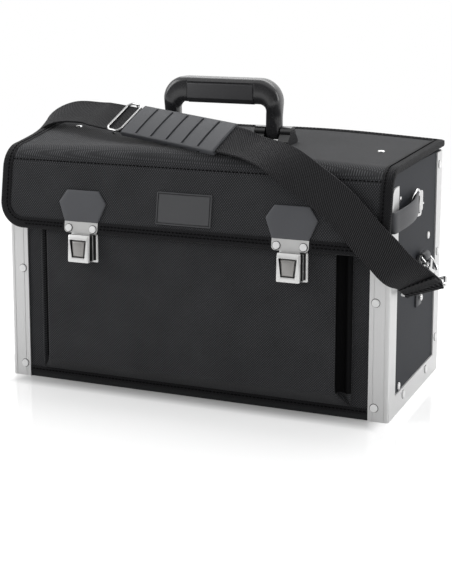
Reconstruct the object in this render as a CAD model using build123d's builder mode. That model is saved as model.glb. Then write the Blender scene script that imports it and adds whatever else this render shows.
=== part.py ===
from build123d import *
import math
import os

# Service bag with plastic side panels, aluminium corner profiles, a fabric
# front and back, and a lid whose front flap closes on two push-button locks.
# Millimetres, +Z up, +X to the bag's right-hand side, front towards -Y.
# The origin is on the floor under the middle of the case.

os.makedirs("parts", exist_ok=True)

# Case
CASE_W = 440.0  # over the profiles, along X
CASE_D = 206.0  # over the profiles, along Y
PANEL_T = 4.0  # side, front, back and base boards
PANEL_TOP = 255.0  # top edge of the side panels
FRONT_TOP = 226.0  # top edge of the front board, under the flap
BACK_GAP = 1.0  # back board's top edge to the lid
PANEL_FOLD_GAP = 2.0  # side panels' rounded front corner to the lid's fold
SEAT = 0.3  # gap between pieces that seat on one another across a joint

# Aluminium profiles
PROFILE_T = 1.5
PROFILE_LEG = 22.0
PROFILE_SIDE_LEG = 24.0  # the upright profiles' legs on the case's sides
PROFILE_GROOVE_W = 1.0
PROFILE_GROOVE_DEPTH = 0.5
PROFILE_GROOVE_INSET = 5.0
FRONT_LEG_TOP = 229.0
FRONT_SIDE_LEG_TOP = 241.0
FRONT_PROFILE_TOP_R = 12.0
REAR_PROFILE_TOP = 254.0
PROFILE_CORNER_R = 3.0
BOTTOM_EDGE_R = 0.7  # along the bottom profiles' lower outer edge

# Rivets
RIVET_HEAD_R = 3.9
RIVET_HEAD_H = 1.5
RIVET_BEVEL_H = 0.9
RIVET_BEVEL_W = 1.3
RIVET_SHANK_R = 1.9
FRONT_RIVET_INSET = 15.4  # from the case's side
FRONT_RIVET_Z = (14.5, 124.5)
REAR_RIVET_INSET = 15.0  # from the case's back
REAR_RIVET_Z = (41.0, 141.0, 240.0)
BOTTOM_RIVET_Y = 47.4
BOTTOM_RIVET_Z = 14.3
PANEL_RIVET_PLACES = ((-62.0, 27.6), (48.6, 166.8))  # along Y and up

# Front pocket
POCKET_WALL_W = 360.0  # where it leaves the front board
POCKET_FRONT_W = 332.0
POCKET_DEPTH = 14.9
POCKET_WALL_Z = 12.0
POCKET_FRONT_Z = 27.0
POCKET_TOP = 198.0
POCKET_BREAK_Z = 172.0  # above this its front leans back under the flap
POCKET_LEAN = 0.19  # how much it leans back for its height
POCKET_T = 1.8

# Lid: a crowned top board and a leaning front flap
LID_W = 444.0
LID_EDGE_Z = 262.0  # top surface along the sides
LID_CROWN = 7.0  # how much higher the middle is
LID_T = 5.0
LID_BACK_Y = 107.0
FLAP_TOP_Y = -108.5  # flap's outer face where it would meet the side edge's height
FLAP_BOTTOM_Y = -122.0
FLAP_BOTTOM_Z = 176.0
FLAP_CORNER_R = 28.0
FOLD_R = 34.0
HINGE_Z = 256.6
HINGE_STRIP_T = 1.0
HINGE_STRIP_DROP = 30.0

# Locks
LOCK_X = 119.5
LOCK_W = 28.0
LOCK_H = 29.0
LOCK_DEPTH = 15.5
LOCK_TOP = 173.5
LOCK_WALL = 1.2
LOCK_EDGE_R = 0.9
LOCK_FLANGE_W = 32.0
LOCK_FLANGE_H = 31.0
BUTTON_TOP_W = 16.0
BUTTON_BOTTOM_W = 13.0
BUTTON_H = 18.0
BUTTON_CLEARANCE = 0.3
BUTTON_FLANGE_T = 0.8
BUTTON_LEAN = 1.1  # how deep the button's top edge lies
BUTTON_RECESS = 0.4  # how deep its lower edge lies
BUTTON_LIP = 1.0  # its flange past its face
BUTTON_DOWN = 5.0  # its top edge below the lock's
SPRING_W = 8.0
SPRING_T = 0.5
CATCH_W = 10.0
CATCH_H = 2.6
HASP_W = 40.0
HASP_H = 12.0
HASP_T = 1.2
HASP_DROP = 1.5  # plate's lower edge below the flap's
HASP_CORNER_R = 4.0
HASP_RIVET_X = 14.5  # from the middle of the plate
HASP_RIVET_UP = 3.4
HASP_RIVET_L = 6.2
TONGUE_W = 22.0
TONGUE_IN = 7.0  # how far the tongue reaches into the lock
TONGUE_SLOT_CLEARANCE = 0.5
TONGUE_SWING = 3.4  # how far the tongue swings out while it leaves the lock
PATCH_W = 56.0
PATCH_H = 34.0
PATCH_TOP_W = 38.0
PATCH_SHOULDER = 13.5  # widest line below the top edge
PATCH_T = 2.0
LABEL_W = 63.0
LABEL_H = 34.5
LABEL_T = 1.6
LABEL_BORDER = 2.0
LABEL_BORDER_H = 0.6
LABEL_UP = 14.7  # lower edge from the flap's

# Handle
HANDLE_W = 138.6
HANDLE_Y = -11.0
HANDLE_TOP = 338.0
HANDLE_PIVOT_Z = 278.5
GRIP_H = 28.0
GRIP_W = 100.0
GRIP_BEVEL = 6.0
GRIP_D = 22.0
LEG_W = 17.0
LEG_D = 15.0
LEG_CORNER_R = 26.0
LEG_INNER_R = 8.0
HANDLE_BEVEL = 3.0
GRIP_INSERT_W = 78.0
GRIP_INSERT_T = 2.0
GRIP_RIDGE_H = 6.0  # bare rib above the insert
BRACKET_W = 42.0
BRACKET_EAR_R = 8.5
BRACKET_D = 32.0
BRACKET_FOOT_Z = 271.5  # top of its flared foot
BRACKET_SCREW_Y = 10.0
SCREW_R = 1.6
SCREW_L = 9.0
EAR_GAP = 0.4
PIN_R = 2.5
PIN_L = 34.0
PIN_CLEARANCE = 0.08
STIFFENER_W = 26.0
STIFFENER_T = 2.0
STIFFENER_L = 392.0
LID_RIVET_X = 181.0

# Side fittings
TAB_W = 22.0
TAB_Y = 9.0
TAB_T = 2.0
TAB_BOTTOM = 96.0
RING_Z = 152.0
RING_OUT = 7.0  # ring's bar from the side panel's face
RING_WIRE_R = 1.8
RING_HALF_W = 13.0
RING_SIDE = 8.0
RING_CORNER_R = 2.0
RING_CLEARANCE = 0.4
TAB_FLARE = 8.0
TAB_RIVET_UP = 10.0
RING_TILT_RIGHT = 40.0  # degrees out from hanging
RING_TILT_LEFT = 150.0
SIDE_STRAP_Z = 196.5  # lower edge at the front corner
SIDE_STRAP_RISE = 5.4  # degrees up towards its clip
SIDE_STRAP_W = 22.0
SIDE_STRAP_T = 2.0
SIDE_STRAP_BULGE = 9.0
SIDE_STRAP_BEND_R = 4.0
SIDE_STRAP_BOW_R = 40.0
SIDE_STRAP_END_Y = -12.0
CLIP_OUT = 5.0  # strap's end from the side panel
CLIP_T = 1.2
CLIP_WRAP = 8.0

# Snap hooks
HOOK_WIRE_R = 2.0
HOOK_BIGHT_R = 6.5  # to the wire's middle
HOOK_SIDE = 28.0
HOOK_NOSE = 6.0
HOOK_HOLD = 7.6  # right-hand ring's wire in the hook, from its bar
YOKE_H = 7.0
YOKE_T = 7.0
GATE_ROOM = 6.0
GATE_R = 2.4
GATE_W = 2.6
GATE_T = 3.2
GATE_CLEARANCE = 0.3
GATE_TIP_GAP = 0.6
GATE_PIN_R = 1.0
HOOK_SLACK = 1.7  # ring's wire behind the middle of the bight
BARREL_R = 5.0
BARREL_L = 13.0
STEM_IN = 9.0
STEM_R = 2.6
STEM_CLEARANCE = 0.25
EYE_WIRE_R = 2.0
EYE_W = 44.5  # between the wires' middles, as is its depth
EYE_DEPTH = 20.0
EYE_CORNER_R = 2.2
EYE_STEM = 8.0
RIGHT_PULL = (0.22, -0.968, -0.12)  # from the ring to the webbing
LEFT_PULL = (-0.03, -0.225, 0.974)
RIGHT_WEB_DIR = (36.0, 4.0, 11.0)
LEFT_WEB_DIR = (0.0, 1.0, 0.0)
ROLL_CLEARANCE = 0.3
ROLL_LAP = 0.2  # webbing's inner face off the roll's bore
LEFT_ROLL_SIDE = 1
RIGHT_ROLL_SIDE = 1

# Shoulder strap
WEB_W = 40.0
WEB_T = 1.8
PAD_W = 46.0
PAD_T = 6.5
PAD_L = 135.0
PAD_CORNER_R = 4.0
PAD_EDGE_R = 1.5
PAD_MIDDLE = (-29.0, -66.5, 284.5)
PAD_RUN = (128.0, -41.0, -9.75)
PAD_ACROSS = (6.0, 35.0, 24.5)
LEFT_WEB = (
    ((-237.0, -29.0, 259.5), (-238.0, 11.0, 261.0)),
    ((-229.0, -29.0, 272.0), (-233.0, 11.0, 280.0)),
    ((-215.0, -29.0, 285.0), (-222.0, 11.0, 291.0)),
    ((-197.0, -30.0, 287.0), (-195.0, 10.0, 301.0)),
    ((-160.0, -38.0, 284.0), (-152.0, -3.0, 303.0)),
)
RIGHT_WEB = (
    ((62.0, -112.0, 264.0), (72.0, -77.0, 284.0)),
    ((86.0, -117.0, 257.0), (108.0, -94.0, 277.0)),
    ((115.0, -119.0, 238.7), (140.0, -112.0, 266.0)),
    ((157.0, -121.5, 210.0), (182.0, -119.5, 240.0)),
    ((190.0, -126.0, 177.0), (217.0, -121.5, 207.0)),
    ((200.0, -125.0, 168.0), (227.0, -120.0, 197.0)),
    ((216.0, -119.5, 152.0), (243.0, -113.0, 176.0)),
    ((225.0, -98.0, 141.0), (258.0, -96.0, 160.0)),
)
RIGHT_END_STATIONS = 3  # those beyond the split, at the webbing's right-hand end
PAD_GROOVES = 5
PAD_GROOVE_W = 2.0
PAD_GROOVE_DEPTH = 1.6
PAD_TRAVEL = 12.0
SLIDER_L = 20.0
SLIDER_W = 45.0
SLIDER_CORNER_R = 4.0
SLIDER_BAR_W = 3.0
SLIDER_BAR_T = 2.0
SLIDER_AT = -80.0  # from the pad's middle
SLIDER_WIRE_R = 1.9
SLIDER_TRAVEL = 15.0
WEB_CLEARANCE = 0.35

# Inside
DIVIDER_T = 4.0
DIVIDER_TOP = 205.0
DIVIDER_Y = 12.0
HAND_HOLE_W = 110.0
HAND_HOLE_H = 30.0
HAND_HOLE_DOWN = 28.0
RAIL_DEPTH = 8.0
RAIL_WALL = 2.0
LOOP_COUNT = 4
LOOP_R = 14.0
LOOP_T = 1.2
LOOP_H = 28.0
LOOP_PITCH = 84.0
LOOP_Z = 140.0
INNER_POCKET_D = 18.0
INNER_POCKET_Z = 40.0
INNER_POCKET_H = 120.0
INNER_POCKET_W = 380.0
INNER_POCKET_COUNT = 3

# Worked out from the sizes above
HALF_W = CASE_W / 2
HALF_D = CASE_D / 2
SIDE_FACE = HALF_W - PROFILE_T  # outer face of the side panels
FRONT_FACE = -HALF_D + PROFILE_T
BACK_FACE = HALF_D - PROFILE_T
SIDE_IN = SIDE_FACE - PANEL_T
BASE_T = PANEL_T + PROFILE_T
POCKET_FACE = FRONT_FACE - POCKET_DEPTH
FLAP_SLOPE = (FLAP_TOP_Y - FLAP_BOTTOM_Y) / (LID_EDGE_Z - FLAP_BOTTOM_Z)
FLAP_ANGLE = math.atan(FLAP_SLOPE)
flap_plane = Plane(
    origin=(0, FLAP_BOTTOM_Y, FLAP_BOTTOM_Z),
    x_dir=(1, 0, 0),
    z_dir=(0, -math.cos(FLAP_ANGLE), math.sin(FLAP_ANGLE)),
)
CROWN_R = ((LID_W / 2) ** 2 + LID_CROWN**2) / (2 * LID_CROWN)
BRACKET_X = HANDLE_W / 2 - LEG_W / 2


def crown_z(x, down=0.0):
    """Height of the lid's crowned surface at x, or of one that lies lower."""
    return LID_EDGE_Z + LID_CROWN - CROWN_R + math.sqrt((CROWN_R - down) ** 2 - x**2)


def crown_normal(x):
    """Outward direction of the lid's crown at x."""
    rise = math.sqrt(CROWN_R**2 - x**2)
    return (x / CROWN_R, 0, rise / CROWN_R)


def flap_y(z):
    """The flap's outer face at a height."""
    return FLAP_BOTTOM_Y + (z - FLAP_BOTTOM_Z) * FLAP_SLOPE


def on_flap(x, up, out):
    """A plane on the flap, so far up from its lower edge and out from its face."""
    origin = flap_plane.from_local_coords((x, up, out))
    return Plane(origin=origin, x_dir=flap_plane.x_dir, z_dir=flap_plane.z_dir)


def mitre_z(y):
    """Height of the joint line between the rear and bottom profiles."""
    return PROFILE_LEG * (HALF_D - y) / PROFILE_SIDE_LEG


def save(part, name):
    part.label = name
    export_step(part, f"parts/{name}.step")


def mirrored(part, name):
    """The same piece on the bag's other side."""
    save(part.mirror(Plane.YZ), name)


def bore(planes, radius, depth):
    """Holes from each plane's origin against its normal, in the piece in hand."""
    downward = (Align.CENTER, Align.CENTER, Align.MAX)
    with Locations(*planes):
        Cylinder(radius, depth, align=downward, mode=Mode.SUBTRACT)


def rivet_group(name, planes, shank):
    """Domed rivets whose heads stand on the planes and whose shanks go below."""
    with BuildPart() as rivet:
        Cylinder(RIVET_SHANK_R, shank, align=(Align.CENTER, Align.CENTER, Align.MAX))
        Cylinder(RIVET_HEAD_R, RIVET_HEAD_H, align=(Align.CENTER, Align.CENTER, Align.MIN))
        chamfer(rivet.edges().sort_by(Axis.Z)[-1], RIVET_BEVEL_H, RIVET_BEVEL_W)
    with BuildPart() as group:
        with Locations(*planes):
            add(rivet.part)
    save(group.part, name)


def sides(planes):
    """The planes with their mirror images on the bag's other side."""
    flipped = [
        Plane(
            origin=(-p.origin.X, p.origin.Y, p.origin.Z),
            x_dir=(-p.x_dir.X, p.x_dir.Y, p.x_dir.Z),
            z_dir=(-p.z_dir.X, p.z_dir.Y, p.z_dir.Z),
        )
        for p in planes
    ]
    return planes + flipped


def side_plane(y, z):
    """On the right-hand profiles' outer face, looking out."""
    return Plane(origin=(HALF_W, y, z), x_dir=(0, 1, 0), z_dir=(1, 0, 0))


# Below the stiffening bar's underside at the brackets, clear of its slope
STIFFENER_LOW = crown_z(BRACKET_X + 2 * SCREW_R, LID_T + STIFFENER_T)

# Where the rivets go, on the right-hand side
rivet_x = HALF_W - FRONT_RIVET_INSET
front_rivets = [
    Plane(origin=(rivet_x, -HALF_D, z), x_dir=(1, 0, 0), z_dir=(0, -1, 0))
    for z in FRONT_RIVET_Z
]
back_rivets = [
    Plane(origin=(rivet_x, HALF_D, z), x_dir=(-1, 0, 0), z_dir=(0, 1, 0))
    for z in REAR_RIVET_Z
]
rear_side_rivets = [side_plane(HALF_D - REAR_RIVET_INSET, z) for z in REAR_RIVET_Z]
bottom_rivets = [side_plane(y, BOTTOM_RIVET_Z) for y in (-BOTTOM_RIVET_Y, BOTTOM_RIVET_Y)]
panel_rivets = [
    Plane(origin=(SIDE_FACE, y, z), x_dir=(0, 1, 0), z_dir=(1, 0, 0))
    for y, z in PANEL_RIVET_PLACES
]
rivet_depth = PROFILE_T + PANEL_T

# Base board, rebated for the profiles' lower legs
with BuildPart() as base_board:
    with BuildSketch(Plane.XZ.offset(-BACK_FACE)):
        with BuildLine():
            Polyline(
                (-SIDE_IN, BASE_T),
                (-SIDE_FACE, BASE_T),
                (-SIDE_FACE, PROFILE_T),
                (-HALF_W + PROFILE_LEG, PROFILE_T),
                (-HALF_W + PROFILE_LEG, 0),
                (HALF_W - PROFILE_LEG, 0),
                (HALF_W - PROFILE_LEG, PROFILE_T),
                (SIDE_FACE, PROFILE_T),
                (SIDE_FACE, BASE_T),
                close=True,
            )
        make_face()
    extrude(amount=BACK_FACE - FRONT_FACE)
save(base_board.part, "base_board")

# Side panels
with BuildPart() as side_panel:
    with BuildSketch(Plane.YZ.offset(SIDE_IN)):
        with Locations((0, (BASE_T + PANEL_TOP) / 2)):
            Rectangle(BACK_FACE - FRONT_FACE, PANEL_TOP - BASE_T)
    extrude(amount=PANEL_T)
    fold_corner = side_panel.edges().filter_by(Axis.X).group_by(Axis.Z)[-1].sort_by(Axis.Y)[0]
    fillet(fold_corner, FOLD_R - LID_T - PANEL_FOLD_GAP)
    bore(rear_side_rivets + bottom_rivets, RIVET_SHANK_R, rivet_depth)
    bore(panel_rivets, RIVET_SHANK_R, PANEL_T)
save(side_panel.part, "side_panel_right")
mirrored(side_panel.part, "side_panel_left")

# Front board
with BuildPart() as front_board:
    with BuildSketch(Plane.XZ.offset(-FRONT_FACE)):
        with Locations((0, (BASE_T + FRONT_TOP) / 2)):
            Rectangle(2 * SIDE_IN, FRONT_TOP - BASE_T)
    extrude(amount=-PANEL_T)
    bore(sides(front_rivets), RIVET_SHANK_R, rivet_depth)
save(front_board.part, "front_board")

# Back board, with a top edge that follows the lid's crown
back_down = LID_T + BACK_GAP
with BuildPart() as back_board:
    with BuildSketch(Plane.XZ.offset(-BACK_FACE)):
        with BuildLine():
            left_top = (-SIDE_IN, crown_z(SIDE_IN, back_down))
            right_top = (SIDE_IN, crown_z(SIDE_IN, back_down))
            ThreePointArc(left_top, (0, crown_z(0, back_down)), right_top)
            Polyline(right_top, (SIDE_IN, BASE_T), (-SIDE_IN, BASE_T), left_top)
        make_face()
    extrude(amount=PANEL_T)
    bore(sides(back_rivets), RIVET_SHANK_R, rivet_depth)
save(back_board.part, "back_board")

# Front pocket: a fabric shell with sloping sides and bottom, open at the board
# and under the flap
POCKET_SIDE_SLOPE = (POCKET_WALL_W - POCKET_FRONT_W) / 2 / POCKET_DEPTH
POCKET_LOW_SLOPE = (POCKET_FRONT_Z - POCKET_WALL_Z) / POCKET_DEPTH


def pocket_outline(depth, inset):
    """Width and lowest height of the pocket at a depth from the board."""
    side = inset * math.hypot(1, POCKET_SIDE_SLOPE)
    low = inset * math.hypot(1, POCKET_LOW_SLOPE)
    width = POCKET_WALL_W - 2 * (POCKET_SIDE_SLOPE * depth + side)
    return width, POCKET_WALL_Z + POCKET_LOW_SLOPE * depth + low


def pocket_block(inset, over):
    """The pocket's outer shape, or the room in it."""
    top = POCKET_TOP + over
    face = POCKET_FACE + inset
    with BuildPart() as block:
        for depth in (-over, POCKET_DEPTH - inset):
            width, low = pocket_outline(depth, inset)
            with BuildSketch(Plane.XZ.offset(depth - FRONT_FACE)):
                with Locations((0, (low + top) / 2)):
                    Rectangle(width, top - low)
        loft(ruled=True)
        lean = (top - POCKET_BREAK_Z) * POCKET_LEAN
        with BuildSketch(Plane.YZ.offset(-POCKET_WALL_W / 2)):
            with BuildLine():
                Polyline(
                    (face - POCKET_T, POCKET_BREAK_Z),
                    (face, POCKET_BREAK_Z),
                    (face + lean, top),
                    (face + lean, top + POCKET_T),
                    (face - POCKET_T, top + POCKET_T),
                    close=True,
                )
            make_face()
        extrude(amount=POCKET_WALL_W, mode=Mode.SUBTRACT)
    return block.part


pocket_outside = pocket_block(0, 0)
pocket_room = pocket_block(POCKET_T, POCKET_T)
with BuildPart() as front_pocket:
    add(pocket_outside)
    add(pocket_room, mode=Mode.SUBTRACT)
save(front_pocket.part, "front_pocket")


def profile_groove(plane, length):
    """A fine groove along an upright profile's face, centred on the plane."""
    with Locations(plane):
        Box(PROFILE_GROOVE_W, length, 2 * PROFILE_GROOVE_DEPTH, mode=Mode.SUBTRACT)


# Front corner profiles: the front leg stands on the floor, the side leg on the
# bottom profile, and both end under the flap
with BuildPart() as corner_profile_front:
    with BuildSketch():
        with BuildLine():
            Polyline(
                (HALF_W - PROFILE_LEG, -HALF_D),
                (HALF_W, -HALF_D),
                (HALF_W, -HALF_D + PROFILE_SIDE_LEG),
                (SIDE_FACE, -HALF_D + PROFILE_SIDE_LEG),
                (SIDE_FACE, FRONT_FACE),
                (HALF_W - PROFILE_LEG, FRONT_FACE),
                close=True,
            )
        make_face()
    extrude(amount=FRONT_SIDE_LEG_TOP)
    corner = corner_profile_front.edges().filter_by(Axis.Z).sort_by(Axis.X)[-2:].sort_by(Axis.Y)[0]
    fillet(corner, PROFILE_CORNER_R)
    # Front leg's lower top end
    with BuildSketch(Plane.XY.offset(FRONT_LEG_TOP)):
        with Locations((HALF_W - PROFILE_LEG, -HALF_D)):
            Rectangle(2 * (PROFILE_LEG - PROFILE_CORNER_R), 4 * PROFILE_T)
    extrude(amount=FRONT_SIDE_LEG_TOP - FRONT_LEG_TOP, mode=Mode.SUBTRACT)
    # Rounded top of the side leg
    with BuildSketch(Plane.YZ.offset(HALF_W)):
        with BuildLine():
            Polyline(
                (-HALF_D - PROFILE_T, FRONT_SIDE_LEG_TOP - FRONT_PROFILE_TOP_R),
                (-HALF_D, FRONT_SIDE_LEG_TOP - FRONT_PROFILE_TOP_R),
            )
            RadiusArc(
                (-HALF_D, FRONT_SIDE_LEG_TOP - FRONT_PROFILE_TOP_R),
                (-HALF_D + FRONT_PROFILE_TOP_R, FRONT_SIDE_LEG_TOP),
                FRONT_PROFILE_TOP_R,
            )
            Polyline(
                (-HALF_D + FRONT_PROFILE_TOP_R, FRONT_SIDE_LEG_TOP),
                (-HALF_D + FRONT_PROFILE_TOP_R, FRONT_SIDE_LEG_TOP + PROFILE_T),
                (-HALF_D - PROFILE_T, FRONT_SIDE_LEG_TOP + PROFILE_T),
                (-HALF_D - PROFILE_T, FRONT_SIDE_LEG_TOP - FRONT_PROFILE_TOP_R),
            )
        make_face()
    extrude(amount=-PROFILE_LEG, mode=Mode.SUBTRACT)
    # The bottom profile's side leg passes below the side leg
    with BuildSketch(Plane.YZ.offset(SIDE_FACE)):
        with Locations((FRONT_FACE, 0)):
            Rectangle(PROFILE_SIDE_LEG, PROFILE_LEG, align=(Align.MIN, Align.MIN))
    extrude(amount=PROFILE_T, mode=Mode.SUBTRACT)
    for inset in (PROFILE_GROOVE_INSET, PROFILE_LEG - PROFILE_GROOVE_INSET):
        profile_groove(
            Plane(
                origin=(HALF_W - inset, -HALF_D, FRONT_LEG_TOP / 2),
                x_dir=(1, 0, 0),
                z_dir=(0, -1, 0),
            ),
            FRONT_LEG_TOP,
        )
    bore(front_rivets, RIVET_SHANK_R, rivet_depth)
save(corner_profile_front.part, "corner_profile_front_right")
mirrored(corner_profile_front.part, "corner_profile_front_left")

# Rear corner profiles, mitred with the bottom profiles
with BuildPart() as corner_profile_rear:
    with BuildSketch():
        with BuildLine():
            Polyline(
                (HALF_W - PROFILE_LEG, HALF_D),
                (HALF_W, HALF_D),
                (HALF_W, HALF_D - PROFILE_SIDE_LEG),
                (SIDE_FACE, HALF_D - PROFILE_SIDE_LEG),
                (SIDE_FACE, BACK_FACE),
                (HALF_W - PROFILE_LEG, BACK_FACE),
                close=True,
            )
        make_face()
    extrude(amount=REAR_PROFILE_TOP)
    corner = corner_profile_rear.edges().filter_by(Axis.Z).sort_by(Axis.X)[-2:].sort_by(Axis.Y)[-1]
    fillet(corner, PROFILE_CORNER_R)
    with BuildSketch(Plane.YZ.offset(SIDE_FACE)):
        with BuildLine():
            Polyline(
                (HALF_D - PROFILE_SIDE_LEG, 0),
                (BACK_FACE, 0),
                (BACK_FACE, mitre_z(BACK_FACE)),
                (HALF_D - PROFILE_SIDE_LEG, PROFILE_LEG),
                close=True,
            )
        make_face()
    extrude(amount=PROFILE_T, mode=Mode.SUBTRACT)
    bore(rear_side_rivets + back_rivets, RIVET_SHANK_R, rivet_depth)
save(corner_profile_rear.part, "corner_profile_rear_right")
mirrored(corner_profile_rear.part, "corner_profile_rear_left")

# Bottom profiles: a side leg and a leg let in under the base board
with BuildPart() as bottom_profile:
    with BuildSketch(Plane.YZ.offset(SIDE_FACE)):
        with BuildLine():
            Polyline(
                (FRONT_FACE, 0),
                (BACK_FACE, 0),
                (BACK_FACE, mitre_z(BACK_FACE)),
                (HALF_D - PROFILE_SIDE_LEG, PROFILE_LEG),
                (FRONT_FACE, PROFILE_LEG),
                close=True,
            )
        make_face()
    extrude(amount=PROFILE_T)
    with BuildSketch():
        with Locations((HALF_W - PROFILE_LEG, (FRONT_FACE + BACK_FACE) / 2)):
            Rectangle(
                PROFILE_LEG, BACK_FACE - FRONT_FACE, align=(Align.MIN, Align.CENTER)
            )
    extrude(amount=PROFILE_T)
    outer_edge = bottom_profile.edges().filter_by(Axis.Y).group_by(Axis.X)[-1].sort_by(Axis.Z)[0]
    fillet(outer_edge, BOTTOM_EDGE_R)
    bore(bottom_rivets, RIVET_SHANK_R, rivet_depth)
save(bottom_profile.part, "bottom_profile_right")
mirrored(bottom_profile.part, "bottom_profile_left")

rivet_group(
    "profile_rivets",
    sides(front_rivets + back_rivets + rear_side_rivets + bottom_rivets),
    rivet_depth,
)
rivet_group("panel_rivets", sides(panel_rivets), PANEL_T)


def lid_block(down, over):
    """The lid's outer shape, or the room that lies lower and runs over its edges."""
    front = down / math.cos(FLAP_ANGLE)
    high = LID_EDGE_Z + 2 * LID_CROWN
    low = FLAP_BOTTOM_Z - over
    back = LID_BACK_Y + over
    with BuildPart() as block:
        with BuildSketch(Plane.YZ.offset(-LID_W / 2 - over)):
            with BuildLine():
                Polyline(
                    (back, low),
                    (flap_y(low) + front, low),
                    (flap_y(high) + front, high),
                    (back, high),
                    close=True,
                )
            make_face()
        extrude(amount=LID_W + 2 * over)
        with BuildSketch(Plane.XZ.offset(-back)):
            with Locations((0, LID_EDGE_Z + LID_CROWN - CROWN_R)):
                Circle(CROWN_R - down)
        extrude(amount=2 * CASE_D, mode=Mode.INTERSECT)
        crown = block.faces().filter_by(GeomType.CYLINDER).sort_by(Axis.Z)[-1]
        fillet(crown.edges().sort_by(Axis.Y)[0], FOLD_R - down)
    return block.part


# Lid: board and flap in one sheet, open at its back and sides
lid_outside = lid_block(0, 0)
lid_room = lid_block(LID_T, LID_T)
lid_rivets = [
    Plane(origin=(LID_RIVET_X, HANDLE_Y, crown_z(LID_RIVET_X)), z_dir=crown_normal(LID_RIVET_X))
]
hasp_rivets = [
    on_flap(LOCK_X + side * HASP_RIVET_X, HASP_RIVET_UP, HASP_T) for side in (-1, 1)
]
bracket_screws = [
    Plane(origin=(BRACKET_X, HANDLE_Y + side * BRACKET_SCREW_Y, STIFFENER_LOW), z_dir=(0, 0, -1))
    for side in (-1, 1)
]
with BuildPart() as lid_cover:
    add(lid_outside)
    fillet(
        lid_cover.edges().filter_by(Axis.Y).group_by(Axis.Z)[0],
        FLAP_CORNER_R,
    )
    add(lid_room, mode=Mode.SUBTRACT)
    bore(sides(lid_rivets), RIVET_SHANK_R, LID_T + STIFFENER_T)
    bore(sides(hasp_rivets), RIVET_SHANK_R, HASP_RIVET_L)
    bore(sides(bracket_screws), SCREW_R, SCREW_L)
save(lid_cover.part, "lid_cover")

# Stiffening bar under the lid board, bent to its crown
bar_top = CROWN_R - LID_T
with BuildPart() as stiffening_bar:
    with BuildSketch(Plane.XZ.offset(-HANDLE_Y - STIFFENER_W / 2)):
        with Locations((0, LID_EDGE_Z + LID_CROWN - CROWN_R)):
            Circle(bar_top)
            Circle(bar_top - STIFFENER_T, mode=Mode.SUBTRACT)
        with Locations((0, LID_EDGE_Z)):
            Rectangle(STIFFENER_L, 4 * LID_CROWN, mode=Mode.INTERSECT)
    extrude(amount=STIFFENER_W)
    bore(sides(lid_rivets), RIVET_SHANK_R, LID_T + STIFFENER_T)
    bore(sides(bracket_screws), SCREW_R, SCREW_L)
save(stiffening_bar.part, "stiffening_bar")
rivet_group("lid_rivets", sides(lid_rivets), LID_T + STIFFENER_T)
rivet_group("hasp_rivets", sides(hasp_rivets), HASP_RIVET_L)

# Fabric strip that hinges the lid on the back board
with BuildPart() as hinge_strip:
    with BuildSketch(Plane.XZ.offset(-BACK_FACE)):
        with BuildLine():
            half = HALF_W - PROFILE_LEG
            left_top = (-half, crown_z(half, LID_T + SEAT))
            right_top = (half, crown_z(half, LID_T + SEAT))
            ThreePointArc(left_top, (0, crown_z(0, LID_T + SEAT)), right_top)
            Polyline(
                right_top,
                (half, HINGE_Z - HINGE_STRIP_DROP),
                (-half, HINGE_Z - HINGE_STRIP_DROP),
                left_top,
            )
        make_face()
    extrude(amount=-HINGE_STRIP_T)
save(hinge_strip.part, "hinge_strip")

# Latch patches: six-sided leather on the flap above the hasps
patch_top = HASP_H - HASP_DROP + PATCH_H
with BuildPart() as latch_patch:
    with BuildSketch(on_flap(LOCK_X, 0, 0)):
        with BuildLine():
            Polyline(
                (-HASP_W / 2, HASP_H - HASP_DROP),
                (-PATCH_W / 2, patch_top - PATCH_SHOULDER),
                (-PATCH_TOP_W / 2, patch_top),
                (PATCH_TOP_W / 2, patch_top),
                (PATCH_W / 2, patch_top - PATCH_SHOULDER),
                (HASP_W / 2, HASP_H - HASP_DROP),
                close=True,
            )
        make_face()
    extrude(amount=PATCH_T)
save(latch_patch.part, "latch_patch_right")
mirrored(latch_patch.part, "latch_patch_left")

# Hasps: a plate riveted to the flap's lower edge, and the tongue below it
with BuildPart() as hasp:
    with BuildSketch(on_flap(LOCK_X, HASP_H / 2 - HASP_DROP, 0)):
        Rectangle(HASP_W, HASP_H)
    extrude(amount=HASP_T)
    lower_corners = hasp.edges().filter_by(lambda e: abs(e.length - HASP_T) < SEAT)
    fillet(lower_corners.sort_by(Axis.Z)[:2], HASP_CORNER_R)
    plate_foot = on_flap(0, SEAT - HASP_DROP, 0).origin
    plate_front = on_flap(0, SEAT - HASP_DROP, HASP_T).origin
    with BuildSketch(Plane.YZ.offset(LOCK_X - TONGUE_W / 2)):
        with BuildLine():
            Polyline(
                (plate_foot.Y, plate_foot.Z),
                (plate_front.Y, plate_front.Z),
                (plate_front.Y, LOCK_TOP - TONGUE_IN),
                (plate_foot.Y, LOCK_TOP - TONGUE_IN),
                close=True,
            )
        make_face()
    extrude(amount=TONGUE_W)
    with Locations((LOCK_X, plate_front.Y, LOCK_TOP - TONGUE_IN + 2 * HASP_T)):
        Box(
            CATCH_W + 2 * TONGUE_SLOT_CLEARANCE,
            4 * HASP_T,
            CATCH_H,
            align=(Align.CENTER, Align.CENTER, Align.MIN),
            mode=Mode.SUBTRACT,
        )
    bore(hasp_rivets, RIVET_SHANK_R, HASP_RIVET_L)
save(hasp.part, "hasp_right")
mirrored(hasp.part, "hasp_left")

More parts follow.
